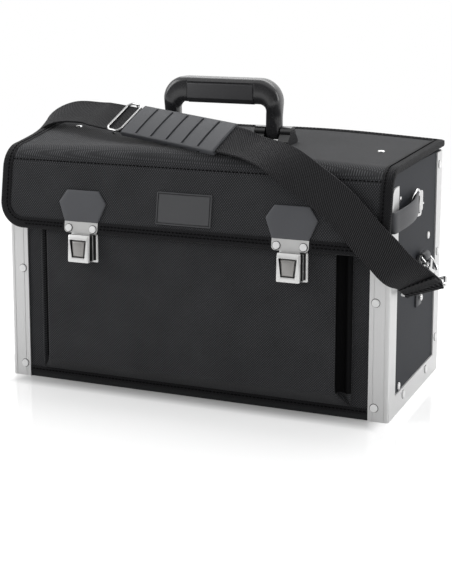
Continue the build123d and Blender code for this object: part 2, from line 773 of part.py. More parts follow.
# Label: a bare rubber plate with a raised border
with BuildPart() as label:
    with BuildSketch(on_flap(0, LABEL_UP + LABEL_H / 2, 0)):
        Rectangle(LABEL_W, LABEL_H)
    extrude(amount=LABEL_T)
    with BuildSketch(on_flap(0, LABEL_UP + LABEL_H / 2, LABEL_T)):
        Rectangle(LABEL_W - 2 * LABEL_BORDER, LABEL_H - 2 * LABEL_BORDER)
    extrude(amount=-LABEL_BORDER_H, mode=Mode.SUBTRACT)
save(label.part, "label")

# Locks: a flange on the pocket and a hollow body, slotted for the tongue on top
# and open in front for the button
lock_face = POCKET_FACE - LOCK_DEPTH
lock_mid_z = LOCK_TOP - LOCK_H / 2
button_plane = Plane(
    origin=(LOCK_X, lock_face, LOCK_TOP - BUTTON_DOWN), x_dir=(1, 0, 0), z_dir=(0, -1, 0)
)


def button_outline(grow):
    """Corners of the button's face, or of one that is larger all round."""
    top = BUTTON_TOP_W / 2 + grow
    foot = BUTTON_BOTTOM_W / 2 + grow
    return [(-top, grow), (top, grow), (foot, -BUTTON_H - grow), (-foot, -BUTTON_H - grow)]


with BuildPart() as lock:
    with BuildSketch(Plane.XZ.offset(-POCKET_FACE)):
        with Locations((LOCK_X, LOCK_TOP - LOCK_FLANGE_H / 2)):
            Rectangle(LOCK_FLANGE_W, LOCK_FLANGE_H)
    extrude(amount=LOCK_WALL)
    with BuildSketch(Plane.XZ.offset(-POCKET_FACE)):
        with Locations((LOCK_X, lock_mid_z)):
            Rectangle(LOCK_W, LOCK_H)
    extrude(amount=LOCK_DEPTH)
    front_edges = lock.faces().sort_by(Axis.Y)[0].edges()
    fillet(front_edges, LOCK_EDGE_R)
    with BuildSketch(Plane.XZ.offset(-POCKET_FACE + LOCK_WALL)):
        with Locations((LOCK_X, lock_mid_z)):
            Rectangle(LOCK_W - 2 * LOCK_WALL, LOCK_H - 2 * LOCK_WALL)
    extrude(amount=LOCK_DEPTH - 2 * LOCK_WALL, mode=Mode.SUBTRACT)
    slot_back = plate_foot.Y + TONGUE_SLOT_CLEARANCE
    slot_front = plate_front.Y - TONGUE_SWING - TONGUE_SLOT_CLEARANCE
    with BuildSketch(Plane.XY.offset(LOCK_TOP)):
        with Locations((LOCK_X, (slot_back + slot_front) / 2)):
            Rectangle(TONGUE_W + 2 * TONGUE_SLOT_CLEARANCE, slot_back - slot_front)
    extrude(amount=-2 * LOCK_WALL, mode=Mode.SUBTRACT)
    with BuildSketch(button_plane):
        with BuildLine():
            Polyline(*button_outline(BUTTON_CLEARANCE), close=True)
        make_face()
    extrude(amount=-2 * LOCK_WALL, mode=Mode.SUBTRACT)
save(lock.part, "lock_right")
mirrored(lock.part, "lock_left")

# Buttons: a sloping face in the lock's opening and a flange behind its wall
with BuildPart() as latch_button:
    with BuildSketch(button_plane.offset(-LOCK_WALL - BUTTON_CLEARANCE)):
        with BuildLine():
            Polyline(*button_outline(BUTTON_LIP), close=True)
        make_face()
    extrude(amount=-BUTTON_FLANGE_T)
    with BuildSketch(button_plane.offset(-LOCK_WALL - BUTTON_CLEARANCE)):
        with BuildLine():
            Polyline(*button_outline(0), close=True)
        make_face()
    extrude(amount=LOCK_WALL + BUTTON_CLEARANCE)
    top_z = LOCK_TOP - BUTTON_DOWN
    with BuildSketch(Plane.YZ.offset(LOCK_X - LOCK_W / 2)):
        with BuildLine():
            Polyline(
                (lock_face - LOCK_WALL, top_z + BUTTON_LIP),
                (lock_face + BUTTON_LEAN, top_z + BUTTON_LIP),
                (lock_face + BUTTON_LEAN, top_z),
                (lock_face + BUTTON_RECESS, top_z - BUTTON_H),
                (lock_face - LOCK_WALL, top_z - BUTTON_H),
                close=True,
            )
        make_face()
    extrude(amount=LOCK_W, mode=Mode.SUBTRACT)
save(latch_button.part, "latch_button_right")
mirrored(latch_button.part, "latch_button_left")

# Leaf springs in the locks, bent from the back wall to the buttons
spring_back = POCKET_FACE - LOCK_WALL
spring_front = lock_face + LOCK_WALL + BUTTON_CLEARANCE + BUTTON_FLANGE_T
spring_foot_z = LOCK_TOP - LOCK_H + LOCK_WALL
with BuildPart() as lock_spring:
    with BuildSketch(Plane.YZ.offset(LOCK_X - SPRING_W / 2)):
        with BuildLine():
            leaf = Polyline(
                (spring_back - SPRING_T / 2, LOCK_TOP - TONGUE_IN - 2 * SPRING_T),
                (spring_back - SPRING_T / 2, spring_foot_z + 2 * SPRING_T),
                (spring_front + SPRING_T, top_z - BUTTON_H / 2),
            )
        trace(line_width=SPRING_T)
    extrude(amount=SPRING_W)
save(lock_spring.part, "lock_spring_right")
mirrored(lock_spring.part, "lock_spring_left")

# Handle: two legs and a grip, bevelled all round, with a softer insert let into
# the grip's front, back and underside
handle_plane = Plane.XZ.offset(-HANDLE_Y - LEG_D / 2)
grip_z = HANDLE_TOP - GRIP_H / 2


def grip_section(x, inset):
    """The grip's eight-sided section across the bag."""
    with BuildSketch(Plane.YZ.offset(x)) as section:
        with Locations((HANDLE_Y, grip_z)):
            Rectangle(GRIP_D - 2 * inset, GRIP_H - 2 * inset)
        chamfer(section.vertices(), GRIP_BEVEL - inset / 2)
    return section.sketch


grip_outline = grip_section(-GRIP_W / 2, 0)
insert_outline = grip_section(-GRIP_INSERT_W / 2, 0)
insert_inside = grip_section(-GRIP_INSERT_W / 2, GRIP_INSERT_T)
with BuildPart() as grip_insert:
    extrude(insert_outline, amount=GRIP_INSERT_W)
    extrude(insert_inside, amount=GRIP_INSERT_W, mode=Mode.SUBTRACT)
    with Locations((0, HANDLE_Y, HANDLE_TOP - GRIP_RIDGE_H)):
        Box(
            HANDLE_W,
            2 * GRIP_D,
            GRIP_H,
            align=(Align.CENTER, Align.CENTER, Align.MIN),
            mode=Mode.SUBTRACT,
        )
save(grip_insert.part, "grip_insert")

foot_z = HANDLE_PIVOT_Z - LEG_D / 2
pivot_planes = [
    Plane(origin=(side * BRACKET_X + LEG_W, HANDLE_Y, HANDLE_PIVOT_Z), z_dir=(1, 0, 0))
    for side in (-1, 1)
]
with BuildPart() as handle_frame:
    with BuildSketch(handle_plane) as handle_outline:
        with Locations((0, (HANDLE_TOP + foot_z) / 2)):
            Rectangle(HANDLE_W, HANDLE_TOP - foot_z)
        fillet(handle_outline.vertices().group_by(Axis.Z)[-1], LEG_CORNER_R)
        with Locations((0, HANDLE_TOP - GRIP_H)):
            Rectangle(
                HANDLE_W - 2 * LEG_W,
                HANDLE_TOP,
                align=(Align.CENTER, Align.MAX),
                mode=Mode.SUBTRACT,
            )
        inner = handle_outline.vertices().filter_by_position(
            Axis.Z, HANDLE_TOP - GRIP_H - SEAT, HANDLE_TOP - GRIP_H + SEAT
        )
        fillet(inner, LEG_INNER_R)
    extrude(amount=LEG_D)
    rims = handle_frame.faces().filter_by(Axis.Y).edges()
    upper = rims.filter_by(lambda e: e.center().Z > HANDLE_PIVOT_Z)
    chamfer(upper, HANDLE_BEVEL)
    extrude(grip_outline, amount=GRIP_W)
    with BuildSketch(Plane.YZ.offset(-HANDLE_W / 2)):
        with Locations((HANDLE_Y, HANDLE_PIVOT_Z)):
            Circle(LEG_D / 2)
            Rectangle(2 * GRIP_D, HANDLE_TOP, align=(Align.CENTER, Align.MIN))
    extrude(amount=HANDLE_W, mode=Mode.INTERSECT)
    add(grip_insert.part, mode=Mode.SUBTRACT)
    bore(pivot_planes, PIN_R + PIN_CLEARANCE, 2 * LEG_W)
save(handle_frame.part, "handle_frame")

# Handle brackets: two domed ears on a foot shaped to the lid's crown
with BuildPart() as handle_bracket:
    with BuildSketch(Plane.YZ.offset(BRACKET_X - BRACKET_W / 2)):
        with BuildSketch():
            with Locations((HANDLE_Y, HANDLE_PIVOT_Z)):
                Circle(BRACKET_EAR_R)
        with BuildLine():
            Polyline(
                (HANDLE_Y - BRACKET_D / 2, LID_EDGE_Z),
                (HANDLE_Y - BRACKET_D / 2, BRACKET_FOOT_Z),
                (HANDLE_Y - BRACKET_EAR_R, HANDLE_PIVOT_Z),
                (HANDLE_Y + BRACKET_EAR_R, HANDLE_PIVOT_Z),
                (HANDLE_Y + BRACKET_D / 2, BRACKET_FOOT_Z),
                (HANDLE_Y + BRACKET_D / 2, LID_EDGE_Z),
                close=True,
            )
        make_face()
    extrude(amount=BRACKET_W)
    with BuildSketch(Plane.YZ.offset(BRACKET_X - LEG_W / 2 - EAR_GAP)):
        with Locations((HANDLE_Y, foot_z - EAR_GAP)):
            Rectangle(2 * BRACKET_D, BRACKET_D, align=(Align.CENTER, Align.MIN))
    extrude(amount=LEG_W + 2 * EAR_GAP, mode=Mode.SUBTRACT)
    with BuildSketch(Plane.XZ.offset(-HANDLE_Y - BRACKET_D)):
        with Locations((0, LID_EDGE_Z + LID_CROWN - CROWN_R)):
            Circle(CROWN_R)
    extrude(amount=2 * BRACKET_D, mode=Mode.SUBTRACT)
    bore(
        [Plane(origin=(BRACKET_X + PIN_L / 2, HANDLE_Y, HANDLE_PIVOT_Z), z_dir=(1, 0, 0))],
        PIN_R,
        PIN_L,
    )
    bore(bracket_screws, SCREW_R, SCREW_L)
save(handle_bracket.part, "handle_bracket_right")
mirrored(handle_bracket.part, "handle_bracket_left")

with BuildPart() as handle_pins:
    for side in (-1, 1):
        with BuildSketch(Plane.YZ.offset(side * BRACKET_X - PIN_L / 2)):
            with Locations((HANDLE_Y, HANDLE_PIVOT_Z)):
                Circle(PIN_R)
        extrude(amount=PIN_L)
save(handle_pins.part, "handle_pins")

# Screws that hold the brackets from below, through the bar and the lid
with BuildPart() as bracket_screw:
    Cylinder(SCREW_R, SCREW_L, align=(Align.CENTER, Align.CENTER, Align.MAX))
    Cylinder(2 * SCREW_R, SCREW_R, align=(Align.CENTER, Align.CENTER, Align.MIN))
with BuildPart() as bracket_screw_group:
    with Locations(*sides(bracket_screws)):
        add(bracket_screw.part)
save(bracket_screw_group.part, "bracket_screws")

# Divider with a hand hole, standing between two guide rails
divider_half = SIDE_IN - RAIL_WALL - SEAT
with BuildPart() as divider:
    with BuildSketch(Plane.XZ.offset(-DIVIDER_Y - DIVIDER_T / 2)):
        with Locations((0, (BASE_T + DIVIDER_TOP) / 2)):
            Rectangle(2 * divider_half, DIVIDER_TOP - BASE_T)
        with Locations((0, DIVIDER_TOP - HAND_HOLE_DOWN)):
            SlotOverall(HAND_HOLE_W, HAND_HOLE_H, mode=Mode.SUBTRACT)
    extrude(amount=DIVIDER_T)
save(divider.part, "divider")

with BuildPart() as guide_rails:
    for side in (-1, 1):
        with BuildSketch(Plane.XY.offset(BASE_T)):
            with Locations((side * SIDE_IN, DIVIDER_Y)):
                Rectangle(2 * RAIL_DEPTH, 2 * RAIL_WALL + DIVIDER_T + 2 * SEAT)
            with Locations((side * (SIDE_IN - RAIL_WALL - RAIL_DEPTH), DIVIDER_Y)):
                Rectangle(2 * RAIL_DEPTH, DIVIDER_T + 2 * SEAT, mode=Mode.SUBTRACT)
            with Locations((side * (SIDE_IN + RAIL_DEPTH), DIVIDER_Y)):
                Rectangle(2 * RAIL_DEPTH, 2 * RAIL_DEPTH, mode=Mode.SUBTRACT)
        extrude(amount=DIVIDER_TOP - BASE_T)
save(guide_rails.part, "guide_rails")

# Elastic loops sewn to the divider's front
divider_front = DIVIDER_Y - DIVIDER_T / 2
with BuildPart() as divider_loops:
    with BuildSketch(Plane.XY.offset(LOOP_Z)):
        with GridLocations(LOOP_PITCH, 1, LOOP_COUNT, 1):
            with Locations((0, divider_front)):
                Circle(LOOP_R)
                Circle(LOOP_R - LOOP_T, mode=Mode.SUBTRACT)
        with Locations((0, divider_front)):
            Rectangle(CASE_W, CASE_D, align=(Align.CENTER, Align.MIN), mode=Mode.SUBTRACT)
    extrude(amount=LOOP_H)
save(divider_loops.part, "divider_loops")

# Open pockets sewn to the front board's inner side
inner_back = FRONT_FACE + PANEL_T
pouch_pitch = INNER_POCKET_W / INNER_POCKET_COUNT
with BuildPart() as front_inner_pocket:
    with BuildSketch(Plane.XY.offset(INNER_POCKET_Z)):
        with Locations((0, inner_back)):
            Rectangle(INNER_POCKET_W, INNER_POCKET_D, align=(Align.CENTER, Align.MIN))
    extrude(amount=INNER_POCKET_H)
    with BuildSketch(Plane.XY.offset(INNER_POCKET_Z + POCKET_T)):
        with GridLocations(pouch_pitch, 1, INNER_POCKET_COUNT, 1):
            with Locations((0, inner_back)):
                Rectangle(
                    pouch_pitch - 2 * POCKET_T,
                    2 * (INNER_POCKET_D - POCKET_T),
                )
    extrude(amount=INNER_POCKET_H, mode=Mode.SUBTRACT)
save(front_inner_pocket.part, "front_inner_pocket")

# Ring tabs: leather folded over the ring's bar and riveted to the side panel
ring_bar = (SIDE_FACE + RING_OUT, TAB_Y, RING_Z)
tab_hole = RING_WIRE_R + RING_CLEARANCE
tab_rivets = [
    Plane(origin=(SIDE_FACE + 2 * TAB_T, TAB_Y, z), x_dir=(0, 1, 0), z_dir=(1, 0, 0))
    for z in (TAB_BOTTOM + TAB_RIVET_UP, TAB_BOTTOM + 3 * TAB_RIVET_UP)
]
with BuildPart() as ring_tab:
    with BuildSketch(Plane.XZ.offset(-TAB_Y - TAB_W / 2)):
        with BuildLine():
            Polyline(
                (SIDE_FACE, TAB_BOTTOM),
                (SIDE_FACE + 2 * TAB_T, TAB_BOTTOM),
                (SIDE_FACE + 2 * TAB_T, RING_Z - TAB_FLARE),
                (ring_bar[0] + tab_hole + TAB_T / 2, RING_Z - TAB_T / 2),
                (ring_bar[0], RING_Z),
                (SIDE_FACE, RING_Z - TAB_T),
                close=True,
            )
        make_face()
        with Locations((ring_bar[0], RING_Z)):
            Circle(tab_hole + TAB_T)
            Circle(tab_hole, mode=Mode.SUBTRACT)
    extrude(amount=TAB_W)
    bore(tab_rivets, RIVET_SHANK_R, 2 * TAB_T)
save(ring_tab.part, "ring_tab_right")
mirrored(ring_tab.part, "ring_tab_left")
rivet_group("tab_rivets", sides(tab_rivets), 2 * TAB_T)


def ring_plane(side, tilt):
    """In the ring: across its bar, then away from it, at a tilt from hanging."""
    away = (side * math.sin(math.radians(tilt)), 0, -math.cos(math.radians(tilt)))
    origin = (side * ring_bar[0], TAB_Y, RING_Z)
    return Plane(origin=origin, x_dir=(0, 1, 0), z_dir=Vector(0, 1, 0).cross(Vector(*away)))


def d_ring(plane, name):
    with BuildSketch(Plane.XY) as flat:
        with BuildLine():
            Polyline(
                (-RING_HALF_W, RING_SIDE),
                (-RING_HALF_W, 0),
                (RING_HALF_W, 0),
                (RING_HALF_W, RING_SIDE),
            )
            RadiusArc((RING_HALF_W, RING_SIDE), (-RING_HALF_W, RING_SIDE), -RING_HALF_W)
        make_face()
        fillet(flat.vertices().group_by(Axis.Y)[0], RING_CORNER_R)
    route = plane.from_local_coords(flat.face().outer_wire())
    with BuildPart() as ring:
        with BuildSketch(Plane(origin=route @ 0, z_dir=route % 0)):
            Circle(RING_WIRE_R)
        sweep(path=route)
    save(ring.part, name)


right_ring_plane = ring_plane(1, RING_TILT_RIGHT)
left_ring_plane = ring_plane(-1, RING_TILT_LEFT)
d_ring(right_ring_plane, "ring_right")
d_ring(left_ring_plane, "ring_left")


def hook_plane(held, pull, wire):
    """Across a hook, then along its pull, with its thickness along the ring's wire."""
    along = pull.normalized()
    thick = (wire - along * wire.dot(along)).normalized()
    return Plane(origin=held + along * HOOK_SLACK, x_dir=along.cross(thick), z_dir=thick)


def snap_hook(plane, web_dir, name):
    """A hook, its sprung gate, and the swivelling eye that the strap goes round."""
    yoke_z = HOOK_SIDE + YOKE_H / 2
    barrel_z = HOOK_SIDE + YOKE_H
    with BuildPart() as hook:
        with BuildLine(plane) as route:
            Polyline((-HOOK_BIGHT_R, HOOK_NOSE), (-HOOK_BIGHT_R, 0))
            ThreePointArc((-HOOK_BIGHT_R, 0), (0, -HOOK_BIGHT_R), (HOOK_BIGHT_R, 0))
            Polyline((HOOK_BIGHT_R, 0), (HOOK_BIGHT_R, yoke_z))
        with BuildSketch(Plane(origin=route.wire() @ 0, z_dir=route.wire() % 0)):
            Circle(HOOK_WIRE_R)
        sweep(path=route.wire())
        yoke_half = HOOK_BIGHT_R + HOOK_WIRE_R
        with Locations(plane):
            with Locations((0, yoke_z, 0)):
                Box(2 * yoke_half, YOKE_H, YOKE_T)
            with Locations((-yoke_half, yoke_z, 0)):
                Box(2 * GATE_ROOM, 2 * YOKE_H, GATE_T + 2 * GATE_CLEARANCE, mode=Mode.SUBTRACT)
            with Locations(Location((0, barrel_z, 0), (-90, 0, 0))):
                Cylinder(BARREL_R, BARREL_L, align=(Align.CENTER, Align.CENTER, Align.MIN))
                with Locations((0, 0, BARREL_L)):
                    Cylinder(
                        STEM_R + STEM_CLEARANCE,
                        STEM_IN + STEM_CLEARANCE,
                        align=(Align.CENTER, Align.CENTER, Align.MAX),
                        mode=Mode.SUBTRACT,
                    )
            with Locations((-HOOK_BIGHT_R, yoke_z, 0)):
                Cylinder(GATE_PIN_R, YOKE_T)
    save(hook.part, f"hook_{name}")
    with BuildPart() as gate:
        with Locations(plane):
            with Locations((-HOOK_BIGHT_R, yoke_z, 0)):
                Cylinder(GATE_R, GATE_T)
            with Locations((-HOOK_BIGHT_R, HOOK_NOSE + GATE_TIP_GAP, 0)):
                Box(
                    GATE_W,
                    yoke_z - HOOK_NOSE - GATE_TIP_GAP,
                    GATE_T,
                    align=(Align.CENTER, Align.MIN, Align.CENTER),
                )
            with Locations((-HOOK_BIGHT_R, yoke_z, 0)):
                Cylinder(GATE_PIN_R + PIN_CLEARANCE, GATE_T, mode=Mode.SUBTRACT)
    save(gate.part, f"gate_{name}")
    along = plane.y_dir
    across = (web_dir - along * web_dir.dot(along)).normalized()
    stem_foot = plane.origin + along * (barrel_z + BARREL_L - STEM_IN)
    eye_plane = Plane(origin=stem_foot, x_dir=across, z_dir=across.cross(along))
    near_bar = STEM_IN + EYE_STEM
    with BuildSketch() as flat:
        with Locations((0, near_bar + EYE_DEPTH / 2)):
            RectangleRounded(EYE_W, EYE_DEPTH, EYE_CORNER_R)
    route = eye_plane.from_local_coords(flat.face().outer_wire())
    with BuildPart() as eye:
        with BuildSketch(Plane(origin=route @ 0, z_dir=route % 0)):
            Circle(EYE_WIRE_R)
        sweep(path=route)
        with BuildSketch(Plane(origin=stem_foot, z_dir=along)):
            Circle(STEM_R)
        extrude(amount=near_bar)
    save(eye.part, f"hook_eye_{name}")
    far_bar = stem_foot + along * (near_bar + EYE_DEPTH)
    return far_bar, across


def ribbon(stations):
    """Section planes across the webbing, square to its run."""
    middles = [(near + far) / 2 for near, far in stations]
    planes = []
    for i, (near, far) in enumerate(stations):
        before = middles[max(i - 1, 0)]
        after = middles[min(i + 1, len(middles) - 1)]
        across = (far - near).normalized()
        run = after - before
        run = run - across * run.dot(across)
        planes.append(Plane(origin=middles[i], x_dir=across, z_dir=run))
    return planes


def webbing(planes, name, roll=None):
    """A stretch of webbing, with its roll round an eye's bar where it has one."""
    with BuildPart() as web:
        for plane in planes:
            with BuildSketch(plane):
                Rectangle(WEB_W, WEB_T)
        loft(ruled=True)
        if roll:
            with BuildSketch(roll):
                Circle(EYE_WIRE_R + ROLL_CLEARANCE + WEB_T)
            extrude(amount=WEB_W / 2, both=True)
            with BuildSketch(roll):
                Circle(EYE_WIRE_R + ROLL_CLEARANCE)
            extrude(amount=WEB_W, both=True, mode=Mode.SUBTRACT)
    save(web.part, name)


def roll_station(eye, towards, side):
    """Edges of the webbing where it leaves its roll, and the roll's plane."""
    bar, across = eye
    run = towards - bar
    run = (run - across * run.dot(across)).normalized()
    out = EYE_WIRE_R + ROLL_CLEARANCE + ROLL_LAP + WEB_T / 2
    middle = bar + run.cross(across) * side * out
    edges = (middle - across * WEB_W / 2, middle + across * WEB_W / 2)
    return edges, Plane(origin=bar, z_dir=across)


# The rings' wire where the hooks hold it, and where the hooks pull
right_away = right_ring_plane.y_dir
left_away = left_ring_plane.y_dir
right_held = (
    right_ring_plane.origin
    + right_ring_plane.x_dir * -RING_HALF_W
    + right_away * HOOK_HOLD
)
left_held = left_ring_plane.origin + left_away * (RING_SIDE + RING_HALF_W)
right_hook = hook_plane(right_held, Vector(*RIGHT_PULL), right_away)
left_hook = hook_plane(left_held, Vector(*LEFT_PULL), left_ring_plane.x_dir)
right_eye = snap_hook(right_hook, Vector(*RIGHT_WEB_DIR), "right")
left_eye = snap_hook(left_hook, Vector(*LEFT_WEB_DIR), "left")

# Shoulder strap's route over the lid: near and far edge of the webbing at each
# place, from the left-hand hook to the right-hand one
pad_run = Vector(*PAD_RUN).normalized()
pad_across = Vector(*PAD_ACROSS)
pad_across = (pad_across - pad_run * pad_run.dot(pad_across)).normalized()
pad_plane = Plane(origin=PAD_MIDDLE, x_dir=pad_run, z_dir=pad_run.cross(pad_across))


def on_pad(along):
    """Edges of the webbing on the straight stretch through the pad."""
    half = WEB_W / 2
    return tuple(pad_plane.from_local_coords(Vector(along, y, 0)) for y in (-half, half))


straight_start = on_pad(SLIDER_AT - SLIDER_TRAVEL - SLIDER_L)
straight_end = on_pad(PAD_L / 2 + PAD_TRAVEL + WEB_T)
left_route = [(Vector(*near), Vector(*far)) for near, far in LEFT_WEB]
right_route = [(Vector(*near), Vector(*far)) for near, far in RIGHT_WEB]
first_edges, left_roll = roll_station(left_eye, left_route[0][0], LEFT_ROLL_SIDE)
last_edges, right_roll = roll_station(right_eye, right_route[-1][0], RIGHT_ROLL_SIDE)
route = [first_edges] + left_route + [straight_start, straight_end] + right_route + [last_edges]
web_planes = ribbon(route)
left_split = 1
right_split = len(web_planes) - 1 - RIGHT_END_STATIONS
webbing(
    web_planes[:left_split] + [web_planes[left_split].offset(-SEAT / 2)],
    "strap_left_end",
    left_roll,
)
webbing(
    [web_planes[left_split].offset(SEAT / 2)]
    + web_planes[left_split + 1 : right_split]
    + [web_planes[right_split].offset(-SEAT / 2)],
    "strap_middle",
)
webbing(
    [web_planes[right_split].offset(SEAT / 2)] + web_planes[right_split + 1 :],
    "strap_right_end",
    right_roll,
)

# Shoulder pad: a ribbed sleeve that slides along the webbing
with BuildPart() as pad_block:
    Box(PAD_L, PAD_W, PAD_T)
    fillet(pad_block.edges().filter_by(Axis.Z), PAD_CORNER_R)
    fillet(pad_block.faces().sort_by(Axis.Z)[-1].edges(), PAD_EDGE_R)
    with Locations((0, 0, PAD_T / 2)):
        with GridLocations(PAD_L / (PAD_GROOVES + 1), 1, PAD_GROOVES, 1):
            Box(PAD_GROOVE_W, PAD_W, 2 * PAD_GROOVE_DEPTH, mode=Mode.SUBTRACT)
    Box(PAD_L, WEB_W + 2 * WEB_CLEARANCE, WEB_T + 2 * WEB_CLEARANCE, mode=Mode.SUBTRACT)
save(pad_plane.from_local_coords(pad_block.part), "strap_pad")

# Slider: a wire frame over the webbing, with a bar under it
slider_z = WEB_T / 2 + WEB_CLEARANCE + SLIDER_WIRE_R
with BuildSketch(Plane.XY.offset(slider_z)) as slider_outline:
    RectangleRounded(SLIDER_L, SLIDER_W, SLIDER_CORNER_R)
slider_route = slider_outline.sketch.face().outer_wire()
with BuildPart() as slider:
    with BuildSketch(Plane(origin=slider_route @ 0, z_dir=slider_route % 0)):
        Circle(SLIDER_WIRE_R)
    sweep(path=slider_route)
    with Locations((0, 0, -WEB_T / 2 - WEB_CLEARANCE)):
        Box(SLIDER_BAR_W, SLIDER_W, SLIDER_BAR_T, align=(Align.CENTER, Align.CENTER, Align.MAX))
    with Locations((0, 0, slider_z)):
        with GridLocations(1, SLIDER_W, 1, 2):
            Box(
                SLIDER_BAR_W,
                SLIDER_BAR_W,
                slider_z + WEB_T / 2 + WEB_CLEARANCE + SLIDER_BAR_T,
                align=(Align.CENTER, Align.CENTER, Align.MAX),
            )
slider_plane = Plane(
    origin=pad_plane.from_local_coords(Vector(SLIDER_AT, 0, 0)),
    x_dir=pad_plane.x_dir,
    z_dir=pad_plane.z_dir,
)
save(slider_plane.from_local_coords(slider.part), "slider")

# Leather straps from under the flap round the front corners, and the chrome
# clips and staples that hold them on the side panels
strap_tilt = math.radians(SIDE_STRAP_RISE)
side_strap_plane = Plane(
    origin=(0, -HALF_D, SIDE_STRAP_Z),
    x_dir=(1, 0, 0),
    z_dir=(0, -math.sin(strap_tilt), math.cos(strap_tilt)),
)
strap_end = (SIDE_FACE + CLIP_OUT, SIDE_STRAP_END_Y + HALF_D)
with BuildPart() as side_strap:
    with BuildSketch(side_strap_plane):
        with BuildLine():
            FilletPolyline(
                (HALF_W - PROFILE_LEG, -SEAT - SIDE_STRAP_T / 2),
                (HALF_W + SIDE_STRAP_T, -SEAT - SIDE_STRAP_T / 2),
                (HALF_W + SIDE_STRAP_BULGE, strap_end[1] / 2),
                strap_end,
                radius=(SIDE_STRAP_BEND_R, SIDE_STRAP_BOW_R),
            )
        trace(line_width=SIDE_STRAP_T)
    extrude(amount=SIDE_STRAP_W)
save(side_strap.part, "side_strap_right")
mirrored(side_strap.part, "side_strap_left")

clip_plane = Plane(
    origin=side_strap_plane.from_local_coords(Vector(strap_end[0], strap_end[1], SIDE_STRAP_W / 2)),
    x_dir=(0, math.cos(strap_tilt), math.sin(strap_tilt)),
    z_dir=(1, 0, 0),
)
with BuildPart() as side_clip:
    with Locations(clip_plane):
        Box(2 * CLIP_WRAP, SIDE_STRAP_W + 2 * CLIP_T, SIDE_STRAP_T + 2 * SEAT + 2 * CLIP_T)
    add(side_strap.part, mode=Mode.SUBTRACT)
save(side_clip.part, "side_clip_right")
mirrored(side_clip.part, "side_clip_left")
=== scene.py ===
import math

import bmesh
import bpy
import numpy as np
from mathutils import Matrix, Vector


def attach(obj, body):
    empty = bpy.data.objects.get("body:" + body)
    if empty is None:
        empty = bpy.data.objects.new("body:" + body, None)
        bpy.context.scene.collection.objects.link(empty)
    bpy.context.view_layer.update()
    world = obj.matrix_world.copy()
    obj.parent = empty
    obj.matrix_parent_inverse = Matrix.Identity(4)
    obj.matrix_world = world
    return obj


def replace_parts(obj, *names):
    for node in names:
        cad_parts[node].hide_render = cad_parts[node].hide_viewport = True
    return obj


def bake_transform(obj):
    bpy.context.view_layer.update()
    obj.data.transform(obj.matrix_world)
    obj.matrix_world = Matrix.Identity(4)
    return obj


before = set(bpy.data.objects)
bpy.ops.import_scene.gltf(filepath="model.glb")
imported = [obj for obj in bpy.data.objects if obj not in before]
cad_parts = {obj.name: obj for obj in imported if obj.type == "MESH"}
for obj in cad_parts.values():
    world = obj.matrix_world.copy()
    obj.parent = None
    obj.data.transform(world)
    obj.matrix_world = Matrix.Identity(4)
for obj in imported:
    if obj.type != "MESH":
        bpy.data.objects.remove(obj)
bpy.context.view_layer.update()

# Service bag with a fabric lid and front, aluminium profiles and a padded strap.
# Sizes are in millimetres, as in the frame, and become metres in the meshes.
MM = 0.001

# Sizes that the frame's nodes share
LID_W = 444.0
LID_EDGE_Z = 262.0
LID_CROWN = 7.0
LID_HALF = 220.8  # to the bound edge
LID_LIFT = 15.5  # the padding stands higher on the left
LID_TILT = 0.02  # and a little higher at the back
LID_T = 5.0
LID_BACK_Y = 107.0
FLAP_TOP_Y = -108.5
FLAP_BOTTOM_Y = -122.0
FLAP_BOTTOM_Z = 176.0
FLAP_CORNER_R = 28.0
FOLD_R = 27.0
BACK_CORNER_R = 5.0
LOCK_X = 119.5
CASE_HALF_W = 220.0
CASE_HALF_D = 103.0
FRONT_FACE = -101.5
HANDLE_Y = -11.0

SIDES = ((-1, "left"), (1, "right"))

# Finishes, as linear colours
FABRIC_DARK = (0.0090, 0.0093, 0.0100)
FABRIC_LIGHT = (0.066, 0.067, 0.072)
TAPE_DARK = (0.006, 0.006, 0.007)
TAPE_LIGHT = (0.018, 0.018, 0.020)
PANEL_COLOUR = (0.028, 0.030, 0.035)
BOARD_COLOUR = (0.016, 0.017, 0.018)
SHADE_PAINT_COLOUR = (0.004, 0.004, 0.0045)
ALUMINIUM_COLOUR = (0.76, 0.76, 0.76)
CHROME_COLOUR = (0.78, 0.78, 0.78)
PLATE_COLOUR = (0.86, 0.86, 0.855)
SATIN_COLOUR = (0.40, 0.39, 0.38)
STEEL_COLOUR = (0.70, 0.70, 0.70)
LEATHER_COLOUR = (0.088, 0.090, 0.098)
STRAP_LEATHER_COLOUR = (0.052, 0.053, 0.058)
WEBBING_DARK = (0.0035, 0.0035, 0.0040)
WEBBING_LIGHT = (0.048, 0.048, 0.051)
PAD_COLOUR = (0.060, 0.062, 0.068)
LABEL_COLOUR = (0.062, 0.063, 0.067)
HANDLE_COLOUR = (0.024, 0.024, 0.026)
INSERT_COLOUR = (0.036, 0.036, 0.039)
BRACKET_COLOUR = (0.006, 0.006, 0.007)
THREAD_COLOUR = (0.002, 0.002, 0.0025)
RIVET_COLOUR = (0.86, 0.86, 0.86)


